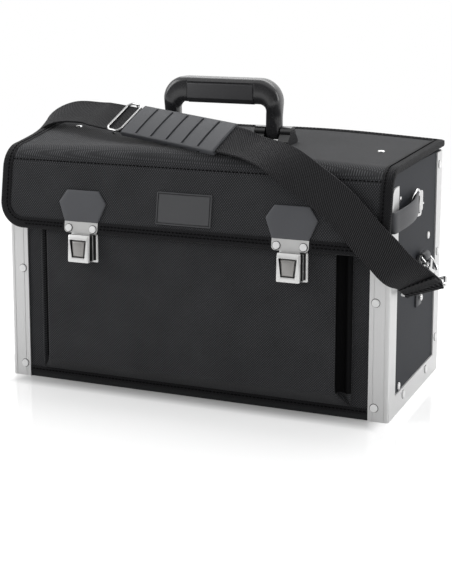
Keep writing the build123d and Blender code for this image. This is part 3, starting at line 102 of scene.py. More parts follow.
class Nodes:
    """Short calls for the nodes of one tree."""

    def __init__(self, tree):
        self.tree = tree

    def node(self, kind, **values):
        made = self.tree.nodes.new(kind)
        for key, value in values.items():
            setattr(made, key, value)
        return made

    def feed(self, socket, value):
        if isinstance(value, bpy.types.NodeSocket):
            self.tree.links.new(value, socket)
        else:
            socket.default_value = value

    def math(self, operation, a, b=0.0, c=0.0, clamp=False):
        made = self.node("ShaderNodeMath", operation=operation, use_clamp=clamp)
        for socket, value in zip(made.inputs, (a, b, c)):
            self.feed(socket, value)
        return made.outputs[0]

    def coordinates(self, source):
        """A texture coordinate, split in three."""
        split = self.node("ShaderNodeSeparateXYZ")
        self.feed(split.inputs[0], self.node("ShaderNodeTexCoord").outputs[source])
        return split.outputs

    def ramp(self, value, low, high):
        """A straight ramp from 0 at low to 1 at high."""
        made = self.node("ShaderNodeMapRange")
        self.feed(made.inputs["Value"], value)
        made.inputs["From Min"].default_value = low
        made.inputs["From Max"].default_value = high
        return made.outputs[0]


class Shader(Nodes):
    """A principled material, with short calls for what feeds it."""

    def __init__(self, name, roughness, metallic=0.0):
        self.material = bpy.data.materials.new(name)
        self.material.use_nodes = True
        super().__init__(self.material.node_tree)
        self.bsdf = self.tree.nodes["Principled BSDF"]
        self.set("Roughness", roughness)
        self.set("Metallic", metallic)

    def set(self, socket, value):
        self.bsdf.inputs[socket].default_value = value

    def stretched(self, scale):
        """Object coordinates, scaled by axis."""
        coordinates = self.node("ShaderNodeTexCoord")
        mapping = self.node("ShaderNodeMapping")
        self.feed(mapping.inputs["Vector"], coordinates.outputs["Object"])
        mapping.inputs["Scale"].default_value = scale
        return mapping.outputs[0]

    def noise(self, scale, detail=3.0, stretch=(1.0, 1.0, 1.0)):
        made = self.node("ShaderNodeTexNoise")
        made.inputs["Scale"].default_value = scale
        made.inputs["Detail"].default_value = detail
        self.feed(made.inputs["Vector"], self.stretched(stretch))
        return made.outputs["Fac"]

    def ripple(self, value, pitch):
        """A sine from 0 to 1 along a coordinate in metres."""
        turns = self.math("MULTIPLY", value, 2 * math.pi / pitch)
        return self.math("MULTIPLY_ADD", self.math("SINE", turns), 0.5, 0.5)

    def mix(self, factor, dark, light):
        made = self.node("ShaderNodeMix", data_type="RGBA")
        self.feed(made.inputs["Factor"], factor)
        made.inputs["A"].default_value = (*dark, 1.0)
        made.inputs["B"].default_value = (*light, 1.0)
        return made.outputs["Result"]

    def colour(self, value):
        if isinstance(value, tuple):
            value = (*value, 1.0)
        self.feed(self.bsdf.inputs["Base Color"], value)

    def bump(self, height, distance, strength=1.0):
        made = self.node("ShaderNodeBump")
        made.inputs["Strength"].default_value = strength
        made.inputs["Distance"].default_value = distance
        self.feed(made.inputs["Height"], height)
        self.feed(self.bsdf.inputs["Normal"], made.outputs[0])

    def rough(self, height, low, high):
        value = self.math("MULTIPLY_ADD", height, high - low, low)
        self.feed(self.bsdf.inputs["Roughness"], value)

    def sheen(self, weight, roughness):
        self.set("Sheen Weight", weight)
        self.set("Sheen Roughness", roughness)


def weave(name, dark, light, pitch, sheen):
    """Twill cloth: small raised yarns on two diagonals."""
    s = Shader(name, 0.85)
    x, y, z = s.coordinates("Object")
    down = s.math("SUBTRACT", z, y)
    rising = s.ripple(s.math("ADD", x, down), pitch)
    falling = s.ripple(s.math("SUBTRACT", x, down), pitch)
    yarns = s.math("MULTIPLY", rising, falling)
    worn = s.noise(28.0)
    tone = s.math("MULTIPLY_ADD", worn, 0.3, s.math("MULTIPLY", yarns, 1.1))
    s.colour(s.mix(tone, dark, light))
    s.rough(yarns, 0.92, 0.70)
    s.bump(s.math("MULTIPLY_ADD", s.noise(9.0), 0.8, yarns), 0.00045)
    s.sheen(sheen, 0.45)
    s.set("Specular IOR Level", 0.16)
    return s.material


def webbing_material():
    """Strap webbing: diagonal ribs, by its own length and width."""
    s = Shader("webbing_ribs", 0.75)
    u, v, _ = s.coordinates("UV")
    ribs = s.ripple(s.math("MULTIPLY_ADD", v, 0.45, u), 0.0021)
    threads = s.ripple(s.math("MULTIPLY_ADD", u, -0.5, v), 0.0016)
    height = s.math("MULTIPLY_ADD", threads, 0.3, s.math("MULTIPLY", ribs, 0.7))
    s.colour(s.mix(s.math("POWER", height, 1.6), WEBBING_DARK, WEBBING_LIGHT))
    s.rough(height, 0.85, 0.6)
    s.bump(height, 0.0006)
    s.sheen(0.02, 0.4)
    s.set("Specular IOR Level", 0.15)
    return s.material


def brushed(name, colour, grain_scale, roughness=(0.30, 0.46), metallic=0.55):
    """Drawn metal with fine lines along one axis and a few soft marks."""
    s = Shader(name, roughness[0], metallic)
    lines = s.noise(1.0, 4.0, grain_scale)
    tone = s.math("MULTIPLY_ADD", s.noise(40.0), 0.3, s.math("MULTIPLY", lines, 0.7))
    s.colour(s.mix(tone, tuple(0.88 * c for c in colour), colour))
    s.rough(tone, *roughness)
    s.bump(lines, 0.00004, 0.5)
    return s.material


def plated(name, colour, roughness=0.13, metallic=1.0):
    """Polished plate with faint waves."""
    s = Shader(name, roughness, metallic)
    s.colour(s.mix(s.noise(70.0), tuple(0.9 * c for c in colour), colour))
    s.rough(s.noise(90.0), roughness * 0.8, roughness * 1.4)
    s.bump(s.noise(60.0, 1.0), 0.00008, 0.4)
    return s.material


def moulded(name, colour, roughness, grain=900.0, depth=0.00008, specular=0.5, coat=0.0):
    """Moulded plastic, rubber or smooth leather with a fine grain."""
    s = Shader(name, roughness)
    fine = s.noise(grain, 2.0)
    tone = s.math("MULTIPLY_ADD", fine, 0.35, s.math("MULTIPLY", s.noise(16.0), 0.65))
    s.colour(s.mix(tone, tuple(0.82 * c for c in colour), tuple(1.12 * c for c in colour)))
    s.rough(fine, roughness * 0.9, min(roughness * 1.15, 1.0))
    s.bump(fine, depth, 0.6)
    s.set("Specular IOR Level", specular)
    s.set("Coat Weight", coat)
    s.set("Coat Roughness", 0.15)
    return s.material


fabric = weave("fabric_twill", FABRIC_DARK, FABRIC_LIGHT, 0.0027, 0.08)
tape = weave("fabric_tape", TAPE_DARK, TAPE_LIGHT, 0.0020, 0.08)
panel = moulded("panel_plastic", PANEL_COLOUR, 0.6, 1400.0, 0.00010, specular=0.14)
board = moulded("board_black", BOARD_COLOUR, 0.7, specular=0.2)
# painted shade: near-black for the shade in the pocket's side fold and round the rivet heads
painted_shade_black = moulded("fold_painted_shade", SHADE_PAINT_COLOUR, 0.8, specular=0.1)
aluminium = brushed("aluminium_drawn", ALUMINIUM_COLOUR, (900.0, 900.0, 9.0))
steel = plated("steel_plated", STEEL_COLOUR, 0.22)
chrome = plated("chrome_plated", CHROME_COLOUR)
bright_plate = plated("chrome_sheet", PLATE_COLOUR, 0.22, 0.4)
# painted shade: a near-black copy of the plate for the locks' waists and button holes
shade_painted_plate = plated("chrome_painted_shade", tuple(0.04 * c for c in PLATE_COLOUR), 0.3, 0.7)
bent_wire = plated("chrome_wire", tuple(0.62 * c for c in CHROME_COLOUR), 0.16)
bracket_black = moulded("bracket_black", BRACKET_COLOUR, 0.2, 500.0, 0.00004, 0.5, 0.5)
rivet_metal = moulded("rivet_bright", RIVET_COLOUR, 0.3, 300.0, 0.00002)
satin = brushed("satin_metal", SATIN_COLOUR, (9.0, 900.0, 900.0), (0.30, 0.42))
leather = moulded("leather_grey", LEATHER_COLOUR, 0.48, 1100.0, 0.00012, specular=0.3)
strap_leather = moulded("leather_strap", STRAP_LEATHER_COLOUR, 0.42, 1100.0, 0.00012, specular=0.35)
webbing = webbing_material()
pad_rubber = moulded("pad_rubber", PAD_COLOUR, 0.5, 700.0, 0.00016, specular=0.35)
label_rubber = moulded("label_rubber", LABEL_COLOUR, 0.5, 700.0, 0.00010)
handle_plastic = moulded("handle_plastic", HANDLE_COLOUR, 0.26, 500.0, 0.00004, 0.5, 0.35)
insert_rubber = moulded("insert_rubber", INSERT_COLOUR, 0.5, 800.0, 0.00012)
thread = moulded("thread", THREAD_COLOUR, 0.7, 900.0, 0.00010, specular=0.08)

# Nodes that keep their own shape: names, and names that have a left and a right
NODE_FINISH = (
    (board, ("base_board", "divider", "stiffening_bar", "guide_rails"), ()),
    (panel, (), ("side_panel",)),
    (aluminium, (), ("corner_profile_front", "corner_profile_rear", "bottom_profile")),
    (steel, ("tab_rivets", "bracket_screws", "handle_pins"), ("lock_spring",)),
    (chrome, (), ("ring", "hook", "gate", "hook_eye")),
    (bright_plate, (), ("hasp",)),
    (bracket_black, (), ("handle_bracket",)),
)
for finish, names, paired in NODE_FINISH:
    for name in names + tuple(f"{part}_{side}" for part in paired for _, side in SIDES):
        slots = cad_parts[name].data.materials
        slots.clear()
        slots.append(finish)


# Mesh helpers
def unit(v):
    v = np.asarray(v, float)
    return v / np.maximum(np.linalg.norm(v, axis=-1, keepdims=True), 1e-9)


def build(name, made, finish, body=None, uv=None, sharp=None, second=()):
    """A mesh object from (points in millimetres, faces), riding on a body.

    second gives other finishes, each with the numbers of its faces."""
    points, faces = made
    mesh = bpy.data.meshes.new(name)
    mesh.from_pydata([tuple(float(c) * MM for c in p) for p in points], [], faces)
    for number, (other, indices) in enumerate(second, 1):
        for index in indices:
            mesh.polygons[index].material_index = number
    work = bmesh.new()
    work.from_mesh(mesh)
    if uv is not None:
        layer = work.loops.layers.uv.new("UVMap")
        for face in work.faces:
            for loop in face.loops:
                loop[layer].uv = uv[loop.vert.index]
    bmesh.ops.recalc_face_normals(work, faces=work.faces)
    work.to_mesh(mesh)
    work.free()
    mesh.materials.append(finish)
    for other, indices in second:
        mesh.materials.append(other)
    for polygon in mesh.polygons:
        polygon.use_smooth = True
    if sharp is not None:
        mesh.set_sharp_from_angle(angle=math.radians(sharp))
    piece = bpy.data.objects.new(name, mesh)
    bpy.context.scene.collection.objects.link(piece)
    if body:
        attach(piece, body)
    return piece


def quads(rows, columns, round_rows=False, round_columns=False, start=0):
    """Faces of a grid of points stored row by row."""
    faces = []
    for i in range(rows if round_rows else rows - 1):
        for j in range(columns if round_columns else columns - 1):
            a, b = i * columns, (i + 1) % rows * columns
            k = (j + 1) % columns
            faces.append(tuple(start + n for n in (a + j, a + k, b + k, b + j)))
    return faces


def loft(rings, caps=True, closed=False):
    """Points and faces of rings of points, closed at both ends or joined up."""
    rings = np.array(rings, float)
    count, width, _ = rings.shape
    faces = quads(count, width, round_rows=closed, round_columns=True)
    if caps and not closed:
        faces.append(tuple(range(width))[::-1])
        faces.append(tuple((count - 1) * width + k for k in range(width)))
    return rings.reshape(-1, 3), faces


def surface_normals(grid):
    """Unit normals of a grid of points."""
    return unit(np.cross(np.gradient(grid, axis=0), np.gradient(grid, axis=1)))


def shell(grid, other):
    """Points and faces of the closed skin between two grids of one size."""
    rows, columns, _ = grid.shape
    count = rows * columns
    points = np.concatenate([grid.reshape(-1, 3), other.reshape(-1, 3)])
    faces = quads(rows, columns) + [f[::-1] for f in quads(rows, columns, start=count)]
    rim = list(range(columns))
    rim += [i * columns + columns - 1 for i in range(1, rows)]
    rim += [(rows - 1) * columns + j for j in range(columns - 2, -1, -1)]
    rim += [i * columns for i in range(rows - 2, 0, -1)]
    for a, b in zip(rim, rim[1:] + rim[:1]):
        faces.append((b, a, a + count, b + count))
    return points, faces


def square_to(run):
    """Two unit directions square to a run and to each other."""
    helper = (0.0, 0.0, 1.0) if abs(run[2]) < 0.9 else (1.0, 0.0, 0.0)
    across = unit(np.cross(run, helper))
    return across, np.cross(run, across)


def circle(centre, across, other, radius, sides):
    turns = [2 * math.pi * k / sides for k in range(sides)]
    return [centre + radius * (math.cos(t) * across + math.sin(t) * other) for t in turns]


def tube(path, radius, sides=12, closed=False):
    """Points and faces of a round tube along a path."""
    path = np.asarray(path, float)
    if closed:
        along = unit(np.roll(path, -1, 0) - np.roll(path, 1, 0))
    else:
        along = unit(np.gradient(path, axis=0))
    across, _ = square_to(along[0])
    rings = []
    for place, run, r in zip(path, along, np.broadcast_to(radius, (len(path),))):
        across = unit(across - run * np.dot(across, run))
        rings.append(circle(place, across, np.cross(run, across), r, sides))
    return loft(rings, closed=closed)


def joined(parts):
    """Several (points, faces) as one."""
    points, faces, start = [], [], 0
    for some_points, some_faces in parts:
        points.append(np.asarray(some_points))
        faces += [tuple(start + n for n in f) for f in some_faces]
        start += len(some_points)
    return np.concatenate(points), faces


def distances(path):
    """How far along a path each of its rows is."""
    steps = np.linalg.norm(np.diff(path[:, :3], axis=0), axis=1)
    return np.concatenate([[0.0], np.cumsum(steps)])


def resampled(path, step, closed=False):
    """Rows at an even step along a path, whose first two or three columns are places."""
    path = np.asarray(path, float)
    if closed:
        path = np.concatenate([path, path[:1]])
    travelled = distances(path)
    count = max(2, int(round(travelled[-1] / step)))
    places = np.linspace(0.0, travelled[-1], count + (0 if closed else 1), endpoint=not closed)
    columns = [np.interp(places, travelled, path[:, k]) for k in range(path.shape[1])]
    return np.stack(columns, axis=1)


def smooth_line(points, step):
    """A centripetal curve through points, at about an even step."""

    def between(a, b, low, high, t):
        return (a * (high - t) + b * (t - low)) / (high - low)

    points = np.asarray(points, float)
    ends = np.concatenate([[2 * points[0] - points[1]], points, [2 * points[-1] - points[-2]]])
    gaps = np.linalg.norm(np.diff(ends[:, :3], axis=0), axis=1)
    out = []
    for i in range(1, len(ends) - 2):
        p = ends[i - 1 : i + 3]
        knots = np.concatenate([[0.0], np.cumsum(gaps[i - 1 : i + 2] ** 0.5)])
        for t in np.linspace(knots[1], knots[2], max(2, int(gaps[i] / step)), endpoint=False):
            a = [between(p[j], p[j + 1], knots[j], knots[j + 1], t) for j in range(3)]
            b = [between(a[j], a[j + 1], knots[j], knots[j + 2], t) for j in range(2)]
            out.append(between(*b, knots[1], knots[2], t))
    out.append(points[-1])
    return np.array(out)


# A band's section by width and thickness: woven with raised edges, and cut with soft ones
WOVEN_EDGE = (
    (-0.5, 0.0), (-0.49, 0.62), (-0.46, 0.68), (-0.43, 0.5), (-0.2, 0.5), (0.0, 0.5), (0.2, 0.5),
    (0.43, 0.5), (0.46, 0.68), (0.49, 0.62), (0.5, 0.0), (0.49, -0.62), (0.43, -0.5), (0.0, -0.5),
    (-0.43, -0.5), (-0.49, -0.62),
)
CUT_EDGE = (
    (-0.5, 0.25), (-0.48, 0.5), (-0.25, 0.5), (0.0, 0.5), (0.25, 0.5), (0.48, 0.5), (0.5, 0.25),
    (0.5, -0.25), (0.48, -0.5), (0.0, -0.5), (-0.48, -0.5), (-0.5, -0.25),
)


def band(middle, side, width, thickness, section=CUT_EDGE):
    """A flat band along a line: its (points, faces) and its UV places."""
    middle = np.asarray(middle, float)
    side = np.broadcast_to(np.asarray(side, float), middle.shape)
    along = unit(np.gradient(middle, axis=0))
    side = unit(side - along * np.sum(side * along, axis=1, keepdims=True))
    up = np.cross(along, side)
    rings, uv = [], []
    for place, across, out, run in zip(middle, side, up, distances(middle)):
        rings.append([place + across * b * width + out * c * thickness for b, c in section])
        uv += [(run * MM, b * width * MM) for b, c in section]
    return loft(rings), uv


STITCH_PITCH = 4.2
STITCH_L = 3.0
STITCH_R = 0.75
# A thread's shares of length, lift over the cloth and thickness, from end to end
STITCH_FORM = (
    (-0.5, -0.7, 0.3), (-0.34, 0.15, 0.9), (0.0, 0.45, 1.0), (0.34, 0.15, 0.9), (0.5, -0.7, 0.3),
)


def stitches(name, runs, body):
    """Sewn threads along runs of (place, normal) rows, each a low capsule on the cloth."""
    reach, lift, thick = np.array(STITCH_FORM).T
    parts = []
    for run in runs:
        rows = resampled(run, STITCH_PITCH)
        for first, second in zip(rows, rows[1:]):
            middle = (first[:3] + second[:3]) / 2
            along, up = unit(second[:3] - first[:3]), unit(first[3:])
            path = middle + np.outer(reach * STITCH_L, along) + np.outer(lift * STITCH_R, up)
            parts.append(tube(path, thick * STITCH_R, 6))
    return build(name, joined(parts), thread, body)


def facing(points, normal):
    """Rows of places with one normal."""
    points = np.asarray(points, float)
    return np.hstack([points, np.broadcast_to(normal, points.shape)])


def rounded(corners, radius, steps=6):
    """A closed flat outline with its corners rounded."""
    corners = np.asarray(corners, float)
    outline = []
    for i, corner in enumerate(corners):
        before = unit(corners[i - 1] - corner)
        after = unit(corners[(i + 1) % len(corners)] - corner)
        half = math.acos(np.clip(np.dot(before, after), -1, 1)) / 2
        reach = radius / math.tan(half)
        start, end = corner + before * reach, corner + after * reach
        middle = corner + unit(before + after) * radius / math.sin(half)
        for k in range(steps + 1):
            blend = k / steps
            point = start * (1 - blend) + end * blend
            outline.append(middle + unit(point - middle) * radius)
    return np.array(outline)


def drawn_in(corners, distance):
    """Corners of a convex outline, given anticlockwise, with its sides drawn in."""
    corners = np.array(corners, float)
    run = unit(np.roll(corners, -1, 0) - corners)
    inward = np.stack([-run[:, 1], run[:, 0]], axis=1)
    before = np.roll(inward, 1, 0)
    share = 1 + np.sum(inward * before, axis=1, keepdims=True)
    return corners + (inward + before) * distance / share


def plate(corners, radius, levels, place, steps=3):
    """A low plate: rings of its outline at (drawn in, height) levels."""
    rings = []
    for distance, height in levels:
        ring = rounded(drawn_in(corners, distance), max(radius - distance, 0.25), steps)
        rings.append([place(x, y, height) for x, y in ring])
    return loft(rings)


def box_corners(x_low, y_low, x_high, y_high):
    return [(x_low, y_low), (x_high, y_low), (x_high, y_high), (x_low, y_high)]


def turned(centre, normal, profile, sides):
    """A turned solid, by (radius, height) along its axis."""
    normal = unit(normal)
    across, other = square_to(normal)
    return loft([circle(centre + normal * h, across, other, r, sides) for r, h in profile])


def stud(centre, normal, radius, height):
    """A rivet's low domed head, with a soft edge."""
    profile = ((1.0, -0.4), (1.0, 0.25), (0.94, 0.55), (0.8, 0.8), (0.5, 0.95), (0.15, 1.0))
    return turned(centre, normal, [(radius * r, height * h) for r, h in profile], 24)


HEAD_SIDES = 28


def flat_head(centre, normal, radius, height):
    """A rivet's flat head with a chamfered rim, on a thin collar that stands for a narrow gap and
    gets painted shade.
    """
    profile = ((0.55, -0.4), (0.55, 0.12), (0.0, 0.14), (0.0, height - 0.35), (-0.4, height))
    return turned(centre, normal, [(radius + out, up) for out, up in profile], HEAD_SIDES)


def flat_heads(name, places, radius, height, body):
    """Rivets at (centre, normal) places as one piece."""
    made = joined([flat_head(c, n, radius, height) for c, n in places])
    each = 4 * HEAD_SIDES + 2
    # painted shade: each head's collar faces get near-black, as the shade in the gap round the head
    collar_shade_faces = [start * each + k for start in range(len(places)) for k in range(2 * HEAD_SIDES)]
    return build(name, made, rivet_metal, body, sharp=30.0, second=((painted_shade_black, collar_shade_faces),))


def smoothstep(low, high, value):
    t = np.clip((np.asarray(value, float) - low) / (high - low), 0.0, 1.0)
    return t * t * (3 - 2 * t)


# Lid surface: places by x and by the distance up from the flap's lower edge
CROWN_R = ((LID_W / 2) ** 2 + LID_CROWN**2) / (2 * LID_CROWN)
FLAP_ANGLE = math.atan((FLAP_TOP_Y - FLAP_BOTTOM_Y) / (LID_EDGE_Z - FLAP_BOTTOM_Z))
FOLD_TURN = math.pi / 2 - FLAP_ANGLE
FOLD_TANGENT = FOLD_R * math.tan(FOLD_TURN / 2)
SEAM_IN = 7.4
FOLD_SEAM_UP = 74.5
FOOT_SEAM_UP = 4.0


def lid_lengths(x):
    """Distances up to the fold's start and to the lid's back edge, over x."""
    crown = LID_EDGE_Z + LID_CROWN - CROWN_R + np.sqrt(CROWN_R**2 - np.asarray(x, float) ** 2)
    flap = (crown - FLAP_BOTTOM_Z) / math.cos(FLAP_ANGLE) - FOLD_TANGENT
    fold_end = FLAP_BOTTOM_Y + flap * math.sin(FLAP_ANGLE) + FOLD_R * math.cos(FLAP_ANGLE)
    return flap, flap + FOLD_R * FOLD_TURN + LID_BACK_Y - fold_end


def lid_waves(x, up):
    """Slack in the lid's fabric: long soft waves and a fuller front fold."""
    slack = 0.5 * np.sin(x / 47.0 + up / 60.0) + 0.35 * np.sin(x / 29.0 - up / 33.0 + 1.3)
    edge = smoothstep(0.0, 30.0, up) * smoothstep(0.0, 26.0, LID_HALF - np.abs(x))
    seam = -0.7 * np.exp(-(((up - FOLD_SEAM_UP) / 2.6) ** 2))
    roll = 0.9 * np.exp(-(((up - 86.0) / 16.0) ** 2))
    return (slack * 0.7 + roll + seam) * edge


def lid_at(x, up, height=0.0):
    """(point, outward normal) at a height over the lid, for x and distance up."""
    x, up, height = np.broadcast_arrays(*(np.asarray(v, float) for v in (x, up, height)))
    flap, _ = lid_lengths(x)
    turn = np.clip((up - flap) / FOLD_R, 0.0, FOLD_TURN)
    on_flap = np.minimum(up, flap)
    on_top = np.maximum(up - flap - FOLD_R * FOLD_TURN, 0.0)
    angle = FLAP_ANGLE + turn
    y = FLAP_BOTTOM_Y + on_flap * math.sin(FLAP_ANGLE)
    z = FLAP_BOTTOM_Z + on_flap * math.cos(FLAP_ANGLE)
    y = y + FOLD_R * (math.cos(FLAP_ANGLE) - np.cos(angle)) + on_top
    z = z + FOLD_R * (np.sin(angle) - math.sin(FLAP_ANGLE))
    normal = np.stack([np.zeros_like(y), -np.cos(angle), np.sin(angle)], axis=-1)
    tilt = LID_TILT * (y - HANDLE_Y) * smoothstep(-112.0, -80.0, y)
    climb = np.clip((y + 102.0) / 125.0, 0.0, 1.0)
    lift = LID_LIFT * (0.6 * climb + 0.4 * smoothstep(0.0, 1.0, climb))
    lift = lift * smoothstep(20.0, 240.0, -x) * 1.05
    waves = np.where(height > -LID_T / 2, lid_waves(x, up), 0.0)
    point = np.stack([x, y, z + tilt + lift], axis=-1)
    return point + normal * (height + waves)[..., None], normal


def half_width(up):
    """Half the lid's width at a distance up from the flap's lower edge."""
    low = np.clip(FLAP_CORNER_R - np.asarray(up, float), 0.0, FLAP_CORNER_R)
    return LID_HALF - FLAP_CORNER_R + np.sqrt(FLAP_CORNER_R**2 - low**2)


def lid_skin():
    """The lid's board and flap, padded and covered."""
    columns = np.linspace(-1.0, 1.0, 121)
    corner = FLAP_CORNER_R * (1 - np.cos(np.linspace(0.02, math.pi / 2, 16)))
    reach = lid_lengths(columns * LID_HALF)[1]
    rows = [np.full_like(columns, up) for up in corner]
    rows += [FLAP_CORNER_R + s * (reach - FLAP_CORNER_R) for s in np.linspace(0.0, 1.0, 110)[1:]]
    outer = [lid_at(columns * half_width(up), up)[0] for up in rows]
    inner = [lid_at(columns * half_width(up), up, -LID_T)[0] for up in rows]
    return shell(np.array(outer), np.array(inner))


def pairs(x, up):
    """Rows of (x, up)."""
    return np.stack(np.broadcast_arrays(x, up), axis=1)


def lid_outline(distance=0.0):
    """The lid's edge in x and distance up, drawn in by a distance, and its inward runs."""
    low = np.linspace(-math.pi / 2, 0, 18)
    high = np.linspace(0, math.pi / 2, 6)[1:]
    reach = float(lid_lengths(LID_HALF)[1])
    right = [
        pairs(LID_HALF - FLAP_CORNER_R * (1 - np.cos(low)), FLAP_CORNER_R * (1 + np.sin(low))),
        pairs(LID_HALF, np.linspace(FLAP_CORNER_R, reach - BACK_CORNER_R, 60)[1:]),
        pairs(
            LID_HALF - BACK_CORNER_R * (1 - np.cos(high)),
            reach - BACK_CORNER_R * (1 - np.sin(high)),
        ),
    ]
    right = np.concatenate(right)
    back_x = np.linspace(LID_HALF - BACK_CORNER_R, BACK_CORNER_R - LID_HALF, 90)[1:-1]
    front_x = np.linspace(FLAP_CORNER_R - LID_HALF, LID_HALF - FLAP_CORNER_R, 90)[1:-1]
    back, front = pairs(back_x, lid_lengths(back_x)[1]), pairs(front_x, 0.0)
    outline = np.concatenate([right, back, right[::-1] * (-1.0, 1.0), front])
    run = unit(np.roll(outline, -1, 0) - np.roll(outline, 1, 0))
    inward = pairs(-run[:, 1], run[:, 0])
    return outline + inward * distance, inward


# Tape folded over the lid's edge, by (inward, height) round its section
TAPE_SECTION = (
    (11.4, -0.3), (11.3, 0.75), (10.2, 1.1), (5.5, 1.0), (1.8, 1.15), (0.0, 0.85), (-0.9, -0.4),
    (-1.2, -2.4), (-0.9, -4.8), (0.0, -5.9), (4.0, -6.1), (8.3, -5.8), (8.4, -4.7),
)


def lid_binding():
    """Tape folded over the lid's edge all round."""
    outline, inward = lid_outline()
    rings = []
    for depth, height in TAPE_SECTION:
        place = outline + inward * max(depth, 0.0)
        point, _ = lid_at(place[:, 0], place[:, 1], height)
        if depth < 0:
            nearer = outline + inward * 0.5
            into = unit(lid_at(nearer[:, 0], nearer[:, 1], height)[0] - point)
            point = point + into * depth
        rings.append(point)
    return loft(np.array(rings).transpose(1, 0, 2), closed=True)


def lid_rows(places, height):
    """(place, normal) rows over the lid's fabric, for (x, up) places."""
    return np.hstack(lid_at(*np.asarray(places, float).T, height))


def off_hasps(places):
    """Runs of (x, up) places with those under the hasp plates left out."""
    clear = (np.abs(np.abs(places[:, 0]) - LOCK_X) > 21.0) | (places[:, 1] > 14.0)
    cuts = np.flatnonzero(np.diff(clear.astype(int))) + 1
    parts = zip(np.split(places, cuts), np.split(clear, cuts))
    return [part for part, kept in parts if kept[0] and len(part) > 2]


lid_cover = build("lid_fabric", lid_skin(), fabric, "lid", sharp=60.0)
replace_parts(lid_cover, "lid_cover")
build("lid_binding_tape", lid_binding(), tape, "lid")

around = resampled(lid_outline(SEAM_IN)[0], 2.0, closed=True)
along_foot = pairs(np.linspace(-190.0, 190.0, 191), FOOT_SEAM_UP)
lid_runs = [lid_rows(run, 1.1) for run in off_hasps(around) + off_hasps(along_foot)]
lid_runs.append(lid_rows(pairs(np.linspace(-211.0, 211.0, 80), FOLD_SEAM_UP), 0.1))
stitches("lid_stitching", lid_runs, "lid")

# Lining that fills the lid under its padding
LINING_LOW_Z = 257.0
lining_x = np.linspace(-208.0, 208.0, 61)
flap_up, back_up = lid_lengths(lining_x)
first, last = flap_up + FOLD_R * FOLD_TURN + 2.0, back_up - 8.0
lining_rows = [first + share * (last - first) for share in np.linspace(0.0, 1.0, 24)]
lining_top = np.array([lid_at(lining_x, up, -LID_T + 0.5)[0] for up in lining_rows])
lining_low = lining_top.copy()
lining_low[..., 2] = LINING_LOW_Z
build("lid_lining", shell(lining_top, lining_low), board, "lid", sharp=40.0)

# Rivets through the lid's padding
LID_RIVET_X = 181.0
parts = []
for x in (-LID_RIVET_X, LID_RIVET_X):
    rivet_up = lid_lengths(x)[1] - (LID_BACK_Y - HANDLE_Y)
    place, normal = lid_at(x, rivet_up, 0.2)
    parts.append(stud(place, normal, 4.0, 1.5))
heads = build("lid_rivet_heads", joined(parts), steel, "lid", sharp=50.0)
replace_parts(heads, "lid_rivets")


def on_flap(x, up, height):
    place, normal = lid_at(x, up)
    return place + normal * height


# Rivets that show on the profiles, the side panels and the hasps
PROFILE_RIVET_X, SIDE_RIVET_Y = 204.6, 88.0
FRONT_RIVET_Z, REAR_RIVET_Z = (14.5, 124.5), (41.0, 141.0, 240.0)
FOOT_RIVET_Y, FOOT_RIVET_Z = 47.4, 14.3
PANEL_FACE, PANEL_RIVETS = 218.5, ((-62.0, 27.6), (48.6, 166.8))
HASP_RIVET_X, HASP_RIVET_UP = 14.5, 3.4
profile_places, panel_places, hasp_places = [], [], []
for side, _ in SIDES:
    x, beside = side * PROFILE_RIVET_X, (side, 0, 0)
    profile_places += [((x, -CASE_HALF_D, z), (0, -1, 0)) for z in FRONT_RIVET_Z]
    profile_places += [((x, CASE_HALF_D, z), (0, 1, 0)) for z in REAR_RIVET_Z]
    profile_places += [((side * CASE_HALF_W, SIDE_RIVET_Y, z), beside) for z in REAR_RIVET_Z]
    for y in (-FOOT_RIVET_Y, FOOT_RIVET_Y):
        profile_places.append(((side * CASE_HALF_W, y, FOOT_RIVET_Z), beside))
    panel_places += [((side * PANEL_FACE, y, z), beside) for y, z in PANEL_RIVETS]
    for x in (side * LOCK_X - HASP_RIVET_X, side * LOCK_X + HASP_RIVET_X):
        hasp_places.append((on_flap(x, HASP_RIVET_UP, 1.5), lid_at(x, HASP_RIVET_UP)[1]))
heads = flat_heads("profile_rivet_heads", profile_places, 4.1, 1.5, "case")
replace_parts(heads, "profile_rivets")
heads = flat_heads("panel_rivet_heads", panel_places, 3.9, 1.5, "case")
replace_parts(heads, "panel_rivets")
heads = flat_heads("hasp_rivet_heads", hasp_places, 3.9, 1.3, "lid")
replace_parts(heads, "hasp_rivets")

# Leather patches over the hasps
PATCH_CORNERS = np.array(
    [(-20.0, 10.5), (20.0, 10.5), (28.0, 31.0), (19.0, 44.5), (-19.0, 44.5), (-28.0, 31.0)]
)
PATCH_LEVELS = ((0.0, -1.0), (0.0, 1.4), (0.4, 1.9), (1.2, 2.15), (5.0, 2.3), (12.0, 2.4))
for side, name in SIDES:
    made = plate(PATCH_CORNERS + (side * LOCK_X, 0.0), 1.0, PATCH_LEVELS, on_flap)
    patch = build(f"latch_patch_leather_{name}", made, leather, "lid", sharp=60.0)
    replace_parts(patch, f"latch_patch_{name}")

# Bare label with a raised border
LABEL_CORNERS = box_corners(-31.5, 14.7, 31.5, 49.2)
LABEL_LEVELS = (
    (0.0, -1.0), (0.0, 1.2), (0.25, 1.5), (1.2, 1.5),
    (1.35, 0.2), (2.2, 0.2), (2.4, 1.2), (8.0, 1.2),
)
made = plate(LABEL_CORNERS, 1.2, LABEL_LEVELS, on_flap)
label = build("label_plate", made, label_rubber, "lid", sharp=40.0)
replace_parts(label, "label")

